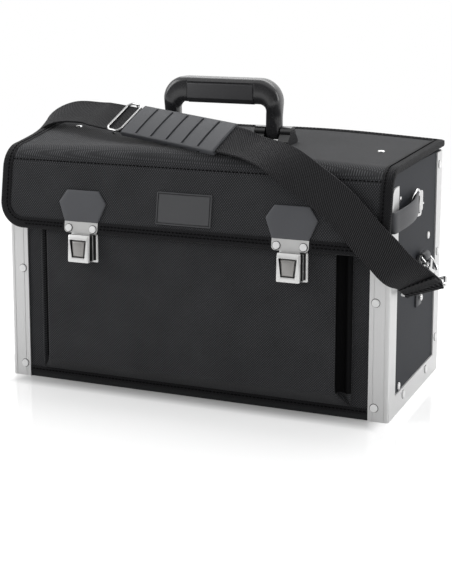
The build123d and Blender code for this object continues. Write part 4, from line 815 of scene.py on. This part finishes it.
# Front and back boards under fabric, each with a hem along its foot
BOARD_HALF, BOARD_LOW = 214.4, 5.6
HEM_HALF, HEM_Z, HEM_W, HEM_T = 197.8, 9.0, 6.6, 1.1
for name, face, inner, top in (
    ("front", FRONT_FACE, -97.5, 226.0),
    ("back", -FRONT_FACE, 97.5, 262.5),
):
    out = math.copysign(1.0, face)
    xs, zs = np.linspace(-BOARD_HALF, BOARD_HALF, 60), np.linspace(BOARD_LOW, top, 40)
    grid_x, grid_z = np.meshgrid(xs, zs)
    swell = 0.3 * np.sin(grid_x / 53.0 + grid_z / 37.0) - 0.3
    outer = np.stack([grid_x, face + out * swell, grid_z], axis=-1)
    flat = np.stack([grid_x, np.full_like(grid_x, inner), grid_z], axis=-1)
    cover = build(f"{name}_board_fabric", shell(outer, flat), fabric, "case", sharp=60.0)
    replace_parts(cover, f"{name}_board")
    hem_line = [(x, face + out * 0.1, HEM_Z) for x in np.linspace(-HEM_HALF, HEM_HALF, 40)]
    made, _ = band(hem_line, (0, 0, 1), HEM_W, HEM_T)
    build(f"{name}_hem_tape", made, tape, "case", sharp=60.0)
    seam_rows = [facing([(x, face + out * 0.65, HEM_Z) for x in (-196.5, 196.5)], (0, out, 0))]
    if name == "back":
        for x in (-192.0, 192.0):
            seam_rows.append(facing([(x, face + 0.1, z) for z in (14.0, 222.0)], (0, 1, 0)))
    stitches(f"{name}_stitching", seam_rows, "case")

# Hinge strip: fabric from the back board up to the lid, sewn below
HINGE_Z = 256.6
strip_z = np.concatenate([np.linspace(226.6, 250.0, 8), np.linspace(252.0, 263.5, 10)])
xs = np.linspace(-HEM_HALF, HEM_HALF, 50)
grid_x, grid_z = np.meshgrid(xs, strip_z)
bulge = 0.35 * np.exp(-(((grid_z - HINGE_Z) / 3.0) ** 2)) + 0.12 * np.sin(grid_x / 31.0)
outer = np.stack([grid_x, 102.6 + bulge, grid_z], axis=-1)
strip = build("hinge_strip_fabric", shell(outer, outer - (0, 1.0, 0)), tape, sharp=60.0)
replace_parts(strip, "hinge_strip")
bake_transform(strip)
rows = facing([(x, 102.85, 230.0) for x in (-196.0, 196.0)], (0, 1, 0))
stitches("hinge_stitching", [rows, rows + np.array((0, 0, 5.0, 0, 0, 0))], "case")

# Front pocket: front panel, folded gusset and sloping lower edge
POCKET_HALF_WALL = 180.0
POCKET_DEPTH = 14.9
POCKET_LOW, POCKET_RIDGE, POCKET_BREAK, POCKET_TOP = 12.0, 27.0, 172.0, 198.0
POCKET_LEAN = 0.19
GUSSET = (
    (180.4, 0.1), (180.2, 1.0), (179.7, 3.0), (178.7, 5.0), (177.2, 6.0), (175.6, 5.2),
    (174.4, 3.2), (172.8, 1.4), (170.4, 0.7), (167.6, 0.7), (165.4, 1.8), (164.4, 4.6),
    (164.6, 8.4), (165.6, 11.4), (166.2, 13.0), (166.0, 14.2), (165.0, 14.9),
)
GUSSET_FOLD = (1, 14)  # columns of the fold beside the panel, painted black as shade
GUSSET_FOOT = 12  # rows below the ridge


def pocket_skin():
    """The pocket's outer face by height, from its lower hem to under the flap."""
    front_x = np.linspace(GUSSET[-1][0] - 1.5, -GUSSET[-1][0] + 1.5, 61)
    contour = list(GUSSET) + [(x, POCKET_DEPTH) for x in front_x]
    contour = np.array(contour + [(-x, d) for x, d in GUSSET[::-1]])
    heights = [
        np.linspace(POCKET_LOW, POCKET_RIDGE + 6.0, 18),
        np.linspace(POCKET_RIDGE + 8.0, POCKET_TOP, 44),
    ]
    rows = []
    for z in np.concatenate(heights):
        slope = (z - POCKET_LOW) / (POCKET_RIDGE - POCKET_LOW)
        full = slope if slope < 0.8 else 1 - 0.2 * math.exp(-(slope - 0.8) / 0.2)
        wall = np.sign(contour[:, 0]) * POCKET_HALF_WALL
        x = wall + (contour[:, 0] - wall) * full
        x = np.where(np.abs(contour[:, 0]) < 163.6, contour[:, 0], x)
        depth = contour[:, 1] * full
        middle = smoothstep(0.0, 40.0, 166.0 - np.abs(contour[:, 0]))
        soft = 0.9 * np.sin(x / 61.0 + z / 47.0) + 0.6 * np.sin(z / 29.0 - x / 83.0)
        depth = depth + soft * middle * smoothstep(POCKET_RIDGE, 60.0, z) * 0.55
        ridge = 0.5 * math.exp(-(((z - POCKET_RIDGE - 2.0) / 2.2) ** 2))
        depth = depth + ridge * (contour[:, 1] > 14.0)
        depth = depth - max(z - POCKET_BREAK, 0.0) * POCKET_LEAN * (contour[:, 1] / POCKET_DEPTH)
        rows.append(np.stack([x, FRONT_FACE - depth, np.full_like(x, z)], axis=1))
    outer = np.array(rows)
    normals = surface_normals(outer)
    return outer, normals * (-1 if normals[30, 40, 1] > 0 else 1)


outer, normals = pocket_skin()
columns = outer.shape[1]
fold_shade_cells = [(i, j) for i in range(GUSSET_FOOT, outer.shape[0] - 1) for j in range(*GUSSET_FOLD)]
# painted shade: the fold's faces get near-black on the right and the darker tape cloth on the left
right_fold_shade = [i * (columns - 1) + j for i, j in fold_shade_cells]
left_fold_shade = [i * (columns - 1) + columns - 2 - j for i, j in fold_shade_cells if j > 5]
made = shell(outer, outer - normals * 1.2)
shade_finishes = ((painted_shade_black, right_fold_shade), (tape, left_fold_shade))
pocket = build("front_pocket_fabric", made, fabric, "case", second=shade_finishes)
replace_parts(pocket, "front_pocket")

# Pockets inside, sewn to the front board
POUCH_PITCH, POUCH_DEPTH, POUCH_BACK = 126.67, 17.2, -97.3
POUCH_LOW_Z, POUCH_HIGH_Z = 40.6, 159.4
line = [(-189.0, 0.2)]
for middle in (-POUCH_PITCH, 0.0, POUCH_PITCH):
    for share in np.linspace(-1.0, 1.0, 25):
        fall = smoothstep(0.0, 0.16, 1 - abs(share))
        line.append((middle + share * (POUCH_PITCH / 2 - 1.2), 0.9 + (POUCH_DEPTH - 0.9) * fall))
line.append((189.0, 0.2))
line = np.array([(x, POUCH_BACK + d, 0.0) for x, d in line])
middle_z = (POUCH_LOW_Z + POUCH_HIGH_Z) / 2
made, _ = band(line + (0, 0, middle_z), (0, 0, 1), POUCH_HIGH_Z - POUCH_LOW_Z, 1.2)
foot = [tuple(p + (0, 0, POUCH_LOW_Z)) for p in line]
foot_grid = np.array([foot, [(x, POUCH_BACK, POUCH_LOW_Z) for x, y, z in foot]])
pouches = joined([made, shell(foot_grid, foot_grid + (0, 0, 1.0))])
pocket = build("inner_pocket_fabric", pouches, fabric, "case", sharp=60.0)
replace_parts(pocket, "front_inner_pocket")
made, _ = band(line + (0, 0.3, POUCH_HIGH_Z - 4.0), (0, 0, 1), 8.0, 1.5)
build("inner_pocket_hem", made, tape, "case", sharp=60.0)

# Elastic tool loops on the divider
LOOP_R, LOOP_FACE = 13.4, 9.4
line = [(-139.4, LOOP_FACE, 154.0)]
for middle in (-126.0, -42.0, 42.0, 126.0):
    for turn in np.linspace(math.pi, 0.0, 15):
        line.append((middle + LOOP_R * math.cos(turn), LOOP_FACE - LOOP_R * math.sin(turn), 154.0))
made, uv = band(line, (0, 0, 1), 28.0, 1.2, WOVEN_EDGE)
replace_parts(build("tool_loop_elastic", made, webbing, "case", uv, 50.0), "divider_loops")

# Locks: a waisted chrome case with a recessed button
LOCK_TOP, LOCK_FOOT, LOCK_BACK_Y, LOCK_DEPTH = 173.5, 144.0, -116.4, 15.5
LOCK_LIP = 4.6
LOCK_HALF = 14.0
LOCK_OFFSET = 3.0  # its back stands to the right of its hasp
LOCK_SLANT = 2.2  # and its front stands less so
LOCK_TAPER = 0.13  # and is narrower
BUTTON_TOP = LOCK_TOP - 5.4
BUTTON_CORNERS = np.array([(-7.4, -18.8), (7.4, -18.8), (9.6, 0.0), (-9.6, 0.0)])
BUTTON_FACE = np.array([(-6.8, -18.2), (5.2, -18.2), (7.0, -1.2), (-8.6, -1.2)])
BUTTON_BASE_Y = -130.2
# The lock case's outline, as (drawn in, depth) from its back to its front
LOCK_LEVELS = (
    (0.0, 0.0), (0.0, 1.4), (0.8, 1.7), (1.1, 2.1), (1.1, 6.4), (0.5, 6.7), (0.5, 7.5), (1.1, 7.8),
    (1.1, 12.2), (0.8, 12.6), (0.0, 12.9), (0.0, 15.0), (0.2, 15.4), (0.6, 15.5),
)
LOCK_SHADE_ROWS = (2, 3, 4, 6, 7, 8, 16)  # its rows of faces in the waists and in the button's hole, painted dark as shade


def on_lock(middle, x, z, depth):
    """A point on a lock, whose top leans back as a lip."""
    lip = 0.45 * max(z - (LOCK_TOP - LOCK_LIP), 0.0) * smoothstep(10.0, 15.0, depth)
    share = depth / LOCK_DEPTH
    across = x * (1 - LOCK_TAPER * share) + LOCK_OFFSET - LOCK_SLANT * share
    return (middle + across, LOCK_BACK_Y - depth + lip, z)


for side, name in SIDES:
    middle = side * LOCK_X
    front = middle + LOCK_OFFSET - LOCK_SLANT
    corners = box_corners(-LOCK_HALF, LOCK_FOOT, LOCK_HALF, LOCK_TOP)
    hole = BUTTON_CORNERS + np.array((front, BUTTON_TOP))
    rings = []
    for distance, depth in LOCK_LEVELS:
        outline = rounded(drawn_in(corners, distance), 1.0, 4)
        rings.append([on_lock(middle, x, z, depth) for x, z in outline])
    for distance, depth in ((-0.9, 15.5), (-0.6, 15.4), (-0.3, 15.0), (-0.3, 7.5)):
        outline = rounded(drawn_in(hole, distance), 0.6, 4)
        rings.append([(x, LOCK_BACK_Y - depth, z) for x, z in outline])
    back = middle + LOCK_OFFSET
    flange = plate(
        box_corners(back - 14.6, 142.5, back + 14.6, LOCK_TOP),
        1.2,
        ((0.0, 0.0), (0.0, 0.9), (0.4, 1.2)),
        lambda x, z, h: (x, LOCK_BACK_Y - h, z),
    )
    around = len(rings[0])
    # the waists and the button's hole take the near-black copy of the plate as painted shade
    shade_finishes = ((shade_painted_plate, [row * around + k for row in LOCK_SHADE_ROWS for k in range(around)]),)
    made = joined([loft(rings), flange])
    case = build(
        f"lock_case_{name}", made, bright_plate, "case", sharp=30.0, second=shade_finishes
    )
    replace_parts(case, f"lock_{name}")
    made = plate(
        BUTTON_FACE + np.array((front, BUTTON_TOP)),
        0.5,
        ((0.0, -1.0), (0.0, 0.0), (0.3, 0.2), (1.9, 1.2), (2.3, 1.3)),
        lambda x, z, h: (x, BUTTON_BASE_Y + 0.05 * (z - BUTTON_TOP + 18.0) - h, z),
    )
    button = build(f"lock_button_{name}", made, satin, f"button_{name}", sharp=25.0)
    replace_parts(button, f"latch_button_{name}")

# Handle: one moulded loop that thickens into the grip
HALF_SPAN, LEG_W, HANDLE_TOP, GRIP_H, HANDLE_FOOT = 69.3, 17.0, 338.0, 28.0, 272.6
HANDLE_PIVOT_Z = 278.5
OUTER_R, INNER_R = 26.0, 8.0
GRIP_DEPTH, LEG_DEPTH = 22.0, 15.0
INSERT_HALF, INSERT_W, INSERT_H, INSERT_LOW = 39.0, 22.6, 21.6, 309.6


def handle_stations():
    """(outer, inner) places in x and z round the handle, from foot to middle."""
    leg = [*np.linspace(HANDLE_FOOT, 296.0, 9), 299.0, 301.5]
    stations = [((HALF_SPAN, z), (HALF_SPAN - LEG_W, z)) for z in leg]
    for turn in np.linspace(0.0, math.pi / 2, 13):
        run = np.array((math.cos(turn), math.sin(turn))) - 1
        outer = (HALF_SPAN, HANDLE_TOP) + OUTER_R * run
        stations.append((outer, (HALF_SPAN - LEG_W, HANDLE_TOP - GRIP_H) + INNER_R * run))
    for x in (42.0, 40.0, 39.2, 38.6, 30.0, 20.0, 10.0):
        stations.append(((x, HANDLE_TOP), (x, HANDLE_TOP - GRIP_H)))
    return stations


def handle_ring(outer, inner, x_sign):
    """The handle's bevelled section between an outer and an inner place."""
    outer, inner = np.array(outer), np.array(inner)
    width = np.linalg.norm(outer - inner)
    out = (outer - inner) / width
    centre = (outer + inner) / 2
    grip = smoothstep(296.0, 311.0, centre[1])
    half = (LEG_DEPTH + (GRIP_DEPTH - LEG_DEPTH) * grip) / 2
    half = math.sqrt(half**2 - max(HANDLE_PIVOT_Z - centre[1], 0.0) ** 2)
    under = 1.2 * smoothstep(INSERT_HALF + 0.8, INSERT_HALF - 0.4, centre[0])
    low = 2.5 + 4.0 * grip
    section = (
        (0.0, half - low),
        (0.35 * low, half - 0.35 * low),
        (low, half - under),
        (width * 0.5, half - under),
        (width - 6.4, half - under),
        (width - 5.0, half - 0.3),
        (width - 2.2, half - 1.6),
        (width - 0.6, half - 3.6),
        (width, half - 5.6),
    )
    ring = [(w, -d) for w, d in section] + [(w, d) for w, d in section[::-1]]
    points = []
    for w, y in ring:
        place = inner + out * (w + (under if w < 0.5 else 0.0))
        points.append((x_sign * place[0], HANDLE_Y + y, place[1]))
    return points


stations = handle_stations()
rings = [handle_ring(outer, inner, 1) for outer, inner in stations]
rings.append(handle_ring((0.0, HANDLE_TOP), (0.0, HANDLE_TOP - GRIP_H), 1))
rings += [handle_ring(outer, inner, -1) for outer, inner in stations[::-1]]
handle = build("handle_loop", loft(rings), handle_plastic, "handle", sharp=32.0)
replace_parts(handle, "handle_frame")
half = INSERT_W / 2
section = [(-6.5, 0.0), (6.5, 0.0), (half, 5.2), (half, INSERT_H), (-half, INSERT_H), (-half, 5.2)]
section = rounded(section, 1.4, 4)
rings = []
for x, shrink in (
    (-39.0, 0.1), (-38.7, 0.03), (-37.8, 0.0), (0.0, -0.02), (37.8, 0.0), (38.7, 0.03), (39.0, 0.1),
):
    wide, high = 1 - shrink, 1 - shrink * 0.4
    rings.append([(x, HANDLE_Y + y * wide, INSERT_LOW + h * high) for y, h in section])
sleeve = build("grip_sleeve", loft(rings), insert_rubber, "handle", sharp=50.0)
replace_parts(sleeve, "grip_insert")
for name in ("handle_bracket_left", "handle_bracket_right"):
    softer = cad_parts[name].modifiers.new("edge", "BEVEL")
    softer.width, softer.segments, softer.limit_method = 0.0008, 3, "ANGLE"

# Shoulder strap
WEB_W = 40.0
WEB_T = 1.8
PAD_MIDDLE = np.array((-29.0, -66.5, 284.5))
PAD_RUN = unit((128.0, -41.0, -9.75))
PAD_ACROSS = np.array((6.0, 35.0, 24.5))
PAD_ACROSS = unit(PAD_ACROSS - PAD_RUN * np.dot(PAD_RUN, PAD_ACROSS))
PAD_UP = np.cross(PAD_RUN, PAD_ACROSS)
STRAP_EDGES = (
    ((-243.6, -27.8, 241.9), (-243.9, 11.1, 250.8)),
    ((-237.0, -29.0, 259.5), (-238.0, 11.0, 261.0)),
    ((-229.0, -29.0, 264.5), (-233.0, 11.0, 279.0)),
    ((-215.0, -29.0, 274.5), (-222.0, 11.0, 291.0)),
    ((-197.0, -30.0, 279.0), (-195.0, 10.0, 302.5)),
    ((-160.0, -38.0, 282.0), (-152.0, -3.0, 303.0)),
    ((-143.7, -46.7, 280.6), (-131.9, -15.8, 303.8)),
    ((42.4, -106.5, 267.1), (54.1, -75.6, 289.6)),
    ((62.0, -112.0, 264.0), (72.0, -77.0, 284.0)),
    ((86.0, -117.0, 257.0), (108.0, -94.0, 277.0)),
    ((115.0, -119.0, 238.7), (140.0, -112.0, 266.0)),
    ((157.0, -121.5, 210.0), (182.0, -119.5, 240.0)),
    ((190.0, -126.0, 177.0), (217.0, -121.5, 207.0)),
    ((200.0, -125.0, 168.0), (227.0, -120.0, 197.0)),
    ((216.0, -119.5, 152.0), (243.0, -113.0, 176.0)),
    ((225.0, -98.0, 141.0), (258.0, -96.0, 160.0)),
    ((227.7, -81.0, 133.2), (265.1, -73.8, 145.2)),
)
EYE_BARS = (
    ((-238.33, -8.48, 245.86), (-0.007, 0.974, 0.225)),
    ((247.48, -79.22, 136.85), (0.938, 0.176, 0.300)),
)
PAD_STATION = 7  # the strap's two lengths meet before this place, inside the pad
ROLL_R = 2.5


def strap_roll(bar, across, middle, away):
    """Places where the webbing goes round an eye's bar and back along itself."""
    bar, across = np.array(bar), unit(across)
    out = middle - bar
    out = ROLL_R * unit(out - across * np.dot(out, across))
    turned = np.cross(across, out)
    turned = turned * np.sign(np.dot(turned, away))
    turns = np.radians(np.arange(24, 265, 24))
    places = [bar + out * math.cos(a) + turned * math.sin(a) for a in turns]
    for distance, share in ((6.0, 0.0), (12.0, 0.2), (18.0, 0.2)):
        places.append(bar + out * share - away * distance)
    return np.array(places)


edges = np.array(STRAP_EDGES)
middles, across = edges.mean(axis=1), unit(edges[:, 1] - edges[:, 0])
seam_middle = middles[PAD_STATION - 1 : PAD_STATION + 1].mean(axis=0)
lines = []
for end, stations, (bar, bar_across) in zip(
    (1, -1), (slice(PAD_STATION), slice(None, PAD_STATION - 1, -1)), EYE_BARS
):
    line, sides = middles[stations], across[stations]
    roll = strap_roll(bar, bar_across, line[0], unit(line[0] - line[1]))
    line = np.concatenate([roll[::-1], line, [seam_middle + PAD_RUN * 2 * end]])
    sides = np.concatenate([[bar_across] * len(roll), sides, [PAD_ACROSS]])
    lines.append((line[::end], sides[::end]))
for name, (middle, side), start, end, nodes in (
    ("left", lines[0], (-0.240, 0, 0.250), (-0.205, 0, 0.290), ("strap_left_end",)),
    (
        "right",
        lines[1],
        (0.232, -0.1, 0.150),
        (0.120, -0.1, 0.262),
        ("strap_middle", "strap_right_end"),
    ),
):
    line = smooth_line(np.hstack([middle, side * WEB_W]), 4.0)
    made, uv = band(line[:, :3], line[:, 3:], WEB_W, WEB_T, WOVEN_EDGE)
    strap = build(f"strap_webbing_{name}", made, webbing, uv=uv, sharp=50.0)
    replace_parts(strap, *nodes)
    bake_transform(strap)

# Shoulder pad
PAD_L, PAD_W, PAD_T = 135.0, 46.0, 6.5
PAD_GROOVES = 5


def on_pad(along, across, up):
    return PAD_MIDDLE + PAD_RUN * along + PAD_ACROSS * across + PAD_UP * up


def pad_mesh():
    """A moulded sleeve with a low crown, cross grooves and nicked sides."""
    pitch = PAD_L / (PAD_GROOVES + 1)
    grooves = [(i - (PAD_GROOVES - 1) / 2) * pitch for i in range(PAD_GROOVES)]
    places = set(np.round(np.linspace(-PAD_L / 2 + 1.2, PAD_L / 2 - 1.2, 37), 3))
    for g in grooves:
        places |= {round(g + d, 3) for d in (-1.9, -1.5, -1.2, -0.8, 0.0, 0.8, 1.2, 1.5, 1.9)}
    places = [-PAD_L / 2, -PAD_L / 2 + 0.4] + sorted(places) + [PAD_L / 2 - 0.4, PAD_L / 2]
    half = PAD_W / 2
    widths = [0.0, 0.3, 0.9, 2.4, 3.0, 3.4, 8.0, 14.0]
    widths = [-half + w for w in widths] + [-8.0, 0.0, 8.0] + [half - w for w in widths[::-1]]
    rings = []
    for a in places:
        near = min(abs(a - g) for g in grooves)
        end_drop = 1.3 * (1 - smoothstep(0.0, 1.2, PAD_L / 2 - abs(a)))
        loop = []
        for b in widths:
            crown = 0.9 * (1 - (b / half) ** 2)
            edge_drop = 0.9 * (1 - min(1.0, (half - abs(b)) / 0.9)) ** 2
            groove = 1.9 * (1 - smoothstep(0.8, 1.2, near)) * smoothstep(2.3, 3.2, half - abs(b))
            lip = 0.35 * np.exp(-(((near - 1.6) / 0.3) ** 2)) * smoothstep(2.0, 3.2, half - abs(b))
            loop.append(on_pad(a, b, PAD_T / 2 + crown - edge_drop - groove + lip - end_drop))
        nick = 2.2 * (1 - smoothstep(0.8, 1.6, near))
        rim = [(half, 0.6), (half, -1.0)]
        rim += [(half - nick, -PAD_T / 2 + 0.5), (half - 0.8 - nick, -PAD_T / 2)]
        for b, c in rim + [(-b, c) for b, c in rim[::-1]]:
            loop.append(on_pad(a, b, c + end_drop * 0.5))
        rings.append(loop)
    return loft(rings)


strap_pad = build("strap_pad_rubber", pad_mesh(), pad_rubber, "strap_pad", sharp=32.0)
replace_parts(strap_pad, "strap_pad")

# Slider: a chrome loop over the webbing, one long side knurled
SLIDER_AT = -80.0
SLIDER_HALF_L, SLIDER_HALF_W = 10.0, 22.5
SLIDER_R = 1.4
SLIDER_CORNER_R = 6.5
KNURL_PITCH, KNURL_R = 2.1, 0.25
corners = box_corners(-SLIDER_HALF_L, -SLIDER_HALF_W, SLIDER_HALF_L, SLIDER_HALF_W)
outline = resampled(rounded(corners, SLIDER_CORNER_R, 8), 0.7, closed=True)
knurled = (np.abs(outline[:, 1]) < SLIDER_HALF_W - 7.0) & (outline[:, 0] > 0)
knurl = KNURL_R * np.sin(outline[:, 1] * 2 * math.pi / KNURL_PITCH)
slider_up = WEB_T / 2 + 0.35 + SLIDER_R
loop_line = [on_pad(SLIDER_AT + a, b, slider_up) for a, b in outline]
loop_part = tube(loop_line, SLIDER_R + np.where(knurled, knurl, 0.0), 12, closed=True)
bar_places = np.linspace(-SLIDER_HALF_W, SLIDER_HALF_W, 9)
bar_line = [on_pad(SLIDER_AT, b, -WEB_T / 2 - 1.6) for b in bar_places]
bar_ends = [on_pad(SLIDER_AT, b, slider_up) for b in bar_places[[0, -1]]]
bar_part = tube([bar_ends[0], *bar_line, bar_ends[1]], 1.3, 10)
slider = build("slider_chrome", joined([loop_part, bar_part]), bent_wire, "slider")
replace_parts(slider, "slider")

# Side fittings: a bowed leather strap with its catch, and the ring's folded tab
STRAP_TILT = math.radians(5.4)
SIDE_STRAP_PATH = (
    (198.0, -1.05), (210.0, -1.05), (218.5, -1.05), (221.8, -0.4), (223.3, 2.0), (224.6, 9.0),
    (227.0, 24.0), (228.5, 40.0), (228.6, 52.0), (227.4, 66.0), (225.6, 76.0), (224.2, 85.0),
)
SIDE_STRAP_W, SIDE_STRAP_Z = 22.0, 196.5
TAB_PATH = (
    (219.6, 97.0), (219.7, 112.0), (220.2, 128.0), (222.6, 138.0), (226.6, 144.5), (228.8, 150.0),
    (227.8, 154.6), (224.2, 155.6), (220.8, 152.6), (219.7, 146.0), (219.5, 138.0), (219.4, 128.0),
)
TAB_Y, TAB_W = 9.0, 21.0


def clip_mesh(side):
    """A wire arch over a slotted keeper plate, with a spring tongue beside it."""

    def at(out, y, z):
        return (side * (PANEL_FACE + out), y, z)

    arch = [(1.8, -33.0, 213.0), (2.6, -32.0, 219.5), (4.2, -27.0, 226.0), (5.4, -22.0, 228.6)]
    arch += [(6.4, -17.5, 226.0), (6.7, -16.0, 219.0), (6.2, -15.5, 212.0)]
    parts = [tube(smooth_line([at(*p) for p in arch], 1.0), 1.5, 10)]
    corners = box_corners(-26.0, 200.0, -13.0, 224.5)
    rings = []
    levels = ((0.0, 3.2), (0.0, 5.0), (0.5, 5.4), (2.6, 5.4), (3.1, 4.9), (3.1, 3.2))
    for distance, height in levels:
        outline = rounded(drawn_in(corners, distance), max(3.4 - distance, 0.4), 4)
        rings.append([at(height + 0.22 * (y + 26.0), y, z) for y, z in outline])
    parts.append(loft(rings, closed=True))
    tongue = box_corners(-12.0, 204.0, -3.4, 226.0)
    levels = ((0.0, 4.4), (0.0, 5.8), (0.5, 6.3), (1.2, 6.5))
    parts.append(plate(tongue, 3.0, levels, lambda y, z, h: at(h + 0.08 * (y + 12.0), y, z), 4))
    bar = [at(3.0 + 0.2 * (y + 27.0), y, 212.0) for y in (-27.0, -19.0, -12.0, -5.0)]
    parts.append(tube(bar, 1.2, 8))
    return joined(parts)


for side, name in SIDES:
    level, rise = math.cos(STRAP_TILT), math.sin(STRAP_TILT)
    across = np.array((0, -rise, level))
    route = []
    for x, t in smooth_line(SIDE_STRAP_PATH, 2.0):
        foot = (side * x, t * level - CASE_HALF_D, t * rise + SIDE_STRAP_Z)
        route.append(foot + across * SIDE_STRAP_W / 2)
    made, uv = band(route, across, SIDE_STRAP_W, 2.0)
    strap = build(f"side_strap_leather_{name}", made, strap_leather, "case", uv, 50.0)
    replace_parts(strap, f"side_strap_{name}")
    clip = build(f"side_catch_{name}", clip_mesh(side), chrome, "case", sharp=40.0)
    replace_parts(clip, f"side_clip_{name}")
    head = stud((side * PANEL_FACE, -69.0, 226.0), (side, 0, 0), 2.6, 1.2)
    build(f"side_strap_rivet_{name}", head, steel, "case", sharp=50.0)
    line = smooth_line([(side * x, TAB_Y, z) for x, z in TAB_PATH], 1.2)
    made, uv = band(line, (0, 1, 0), TAB_W, 1.9)
    tab = build(f"ring_tab_leather_{name}", made, strap_leather, "case", uv, 50.0)
    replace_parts(tab, f"ring_tab_{name}")


# Floor, light and camera
FLOOR_HALF = 4.0
CAMERA_AZIMUTH = math.radians(22.62)
CAMERA_PITCH = math.radians(9.53)
CAMERA_DISTANCE = 1471.0
CAMERA_X, CAMERA_Z = -1.3, 460.6
FOCAL_PIXELS = 1329.0
SENSOR_MM = 36.0
IMAGE_LONG_SIDE = 584.0
SHIFT_Y = -0.18
AMBIENT = 0.60
DIMMED = 0.88
FLOOR_GLOW = 0.33
FOOT_HALF_X, FOOT_HALF_Y = 0.222, 0.104  # what the bag stands on, in metres
CONTACT_SHADE_WIDTH = 0.030
FADE_START, FADE_END = 0.0, 1.2

# The floor keeps the object's shadow and reflection, and fades to the white background; its glow is
# left out in a narrow band along the base's front and back, a painted contact shadow
s = Shader("floor_white", 0.05)
s.colour((0.86, 0.86, 0.86))
x, y, z = s.coordinates("Object")
beside, before = (
    s.math("MAXIMUM", s.math("SUBTRACT", s.math("ABSOLUTE", place), half), 0.0)
    for place, half in ((x, FOOT_HALF_X), (y, FOOT_HALF_Y))
)
squares = s.math("MULTIPLY_ADD", beside, beside, s.math("MULTIPLY", before, before))
distance = s.math("SQRT", squares)
fade = s.ramp(distance, FADE_START, FADE_END)
rays = s.node("ShaderNodeLightPath").outputs
seen = s.math("MAXIMUM", rays["Is Camera Ray"], rays["Is Glossy Ray"])
# painted contact shadow: no glow within 12 mm of the base's front and back, inside its width,
# coming back fully by 30 mm
past_side = s.ramp(s.math("ABSOLUTE", x), 0.200, 0.215)
past_contact_shade = s.math("MAXIMUM", s.ramp(before, 0.012, CONTACT_SHADE_WIDTH), past_side)
glow = s.math("MULTIPLY", s.math("MULTIPLY", past_contact_shade, FLOOR_GLOW), rays["Is Camera Ray"])
s.set("Emission Color", (1, 1, 1, 1))
s.feed(s.bsdf.inputs["Emission Strength"], glow)
blend = s.node("ShaderNodeMixShader")
s.feed(blend.inputs[0], s.math("MULTIPLY", seen, fade))
s.feed(blend.inputs[1], s.bsdf.outputs[0])
s.feed(blend.inputs[2], s.node("ShaderNodeEmission").outputs[0])
s.feed(s.tree.nodes["Material Output"].inputs["Surface"], blend.outputs[0])
corners = box_corners(-FLOOR_HALF, -FLOOR_HALF, FLOOR_HALF, FLOOR_HALF)
mesh = bpy.data.meshes.new("floor")
mesh.from_pydata([(x, y, 0.0) for x, y in corners], [], [(0, 1, 2, 3)])
mesh.materials.append(s.material)
floor = bpy.data.objects.new("floor", mesh)
bpy.context.scene.collection.objects.link(floor)

# For reflections the studio is white behind the object and above it, and dim behind the camera
world = bpy.data.worlds.new("studio")
bpy.context.scene.world = world
world.use_nodes = True
s = Nodes(world.node_tree)
background = s.tree.nodes["Background"]
background.inputs["Color"].default_value = (1, 1, 1, 1)
rays = s.node("ShaderNodeLightPath").outputs
x, y, z = s.coordinates("Generated")
frontal = s.math("MULTIPLY_ADD", y, -4.0, -0.6, clamp=True)
low = s.math("MULTIPLY_ADD", z, -5.0, 3.6, clamp=True)
mirrored = s.math("MULTIPLY_ADD", s.math("MULTIPLY", frontal, low), -DIMMED, 1.0, clamp=True)
lit = s.math("MAXIMUM", s.math("MULTIPLY", rays["Is Glossy Ray"], mirrored), rays["Is Camera Ray"])
either = s.math("MAXIMUM", rays["Is Glossy Ray"], rays["Is Camera Ray"])
diffuse = s.math("MULTIPLY", s.math("SUBTRACT", 1.0, either), AMBIENT)
s.feed(background.inputs["Strength"], s.math("ADD", lit, diffuse))


def softbox(name, place, target, size, watts):
    """A large area lamp that looks at a point, in metres."""
    data = bpy.data.lights.new(name, "AREA")
    data.shape = "RECTANGLE"
    data.size, data.size_y = size
    data.energy = watts
    lamp = bpy.data.objects.new(name, data)
    lamp.location = place
    lamp.rotation_euler = (Vector(target) - Vector(place)).to_track_quat("-Z", "Y").to_euler()
    bpy.context.scene.collection.objects.link(lamp)


softbox("top_softbox", (0.0, 0.75, 1.6), (0, 0, 0.25), (2.0, 1.2), 22.0)
softbox("left_softbox", (-1.7, -0.9, 1.1), (0, 0, 0.15), (1.0, 1.2), 15.5)
softbox("right_softbox", (1.9, 0.1, 0.9), (0.1, 0, 0.15), (0.9, 1.2), 10.0)

camera_data = bpy.data.cameras.new("camera")
camera_data.sensor_fit = "AUTO"
camera_data.sensor_width = SENSOR_MM
camera_data.lens = FOCAL_PIXELS / IMAGE_LONG_SIDE * SENSOR_MM
camera_data.shift_y = SHIFT_Y
camera_data.clip_start = 0.05
camera_data.clip_end = 50.0
camera = bpy.data.objects.new("camera", camera_data)
camera.location = (
    (CAMERA_X + CAMERA_DISTANCE * math.sin(CAMERA_AZIMUTH)) * MM,
    -CAMERA_DISTANCE * math.cos(CAMERA_AZIMUTH) * MM,
    CAMERA_Z * MM,
)
camera.rotation_euler = (math.pi / 2 - CAMERA_PITCH, 0.0, CAMERA_AZIMUTH)
bpy.context.scene.collection.objects.link(camera)
bpy.context.scene.camera = camera
bpy.context.scene.view_settings.view_transform = "Standard"
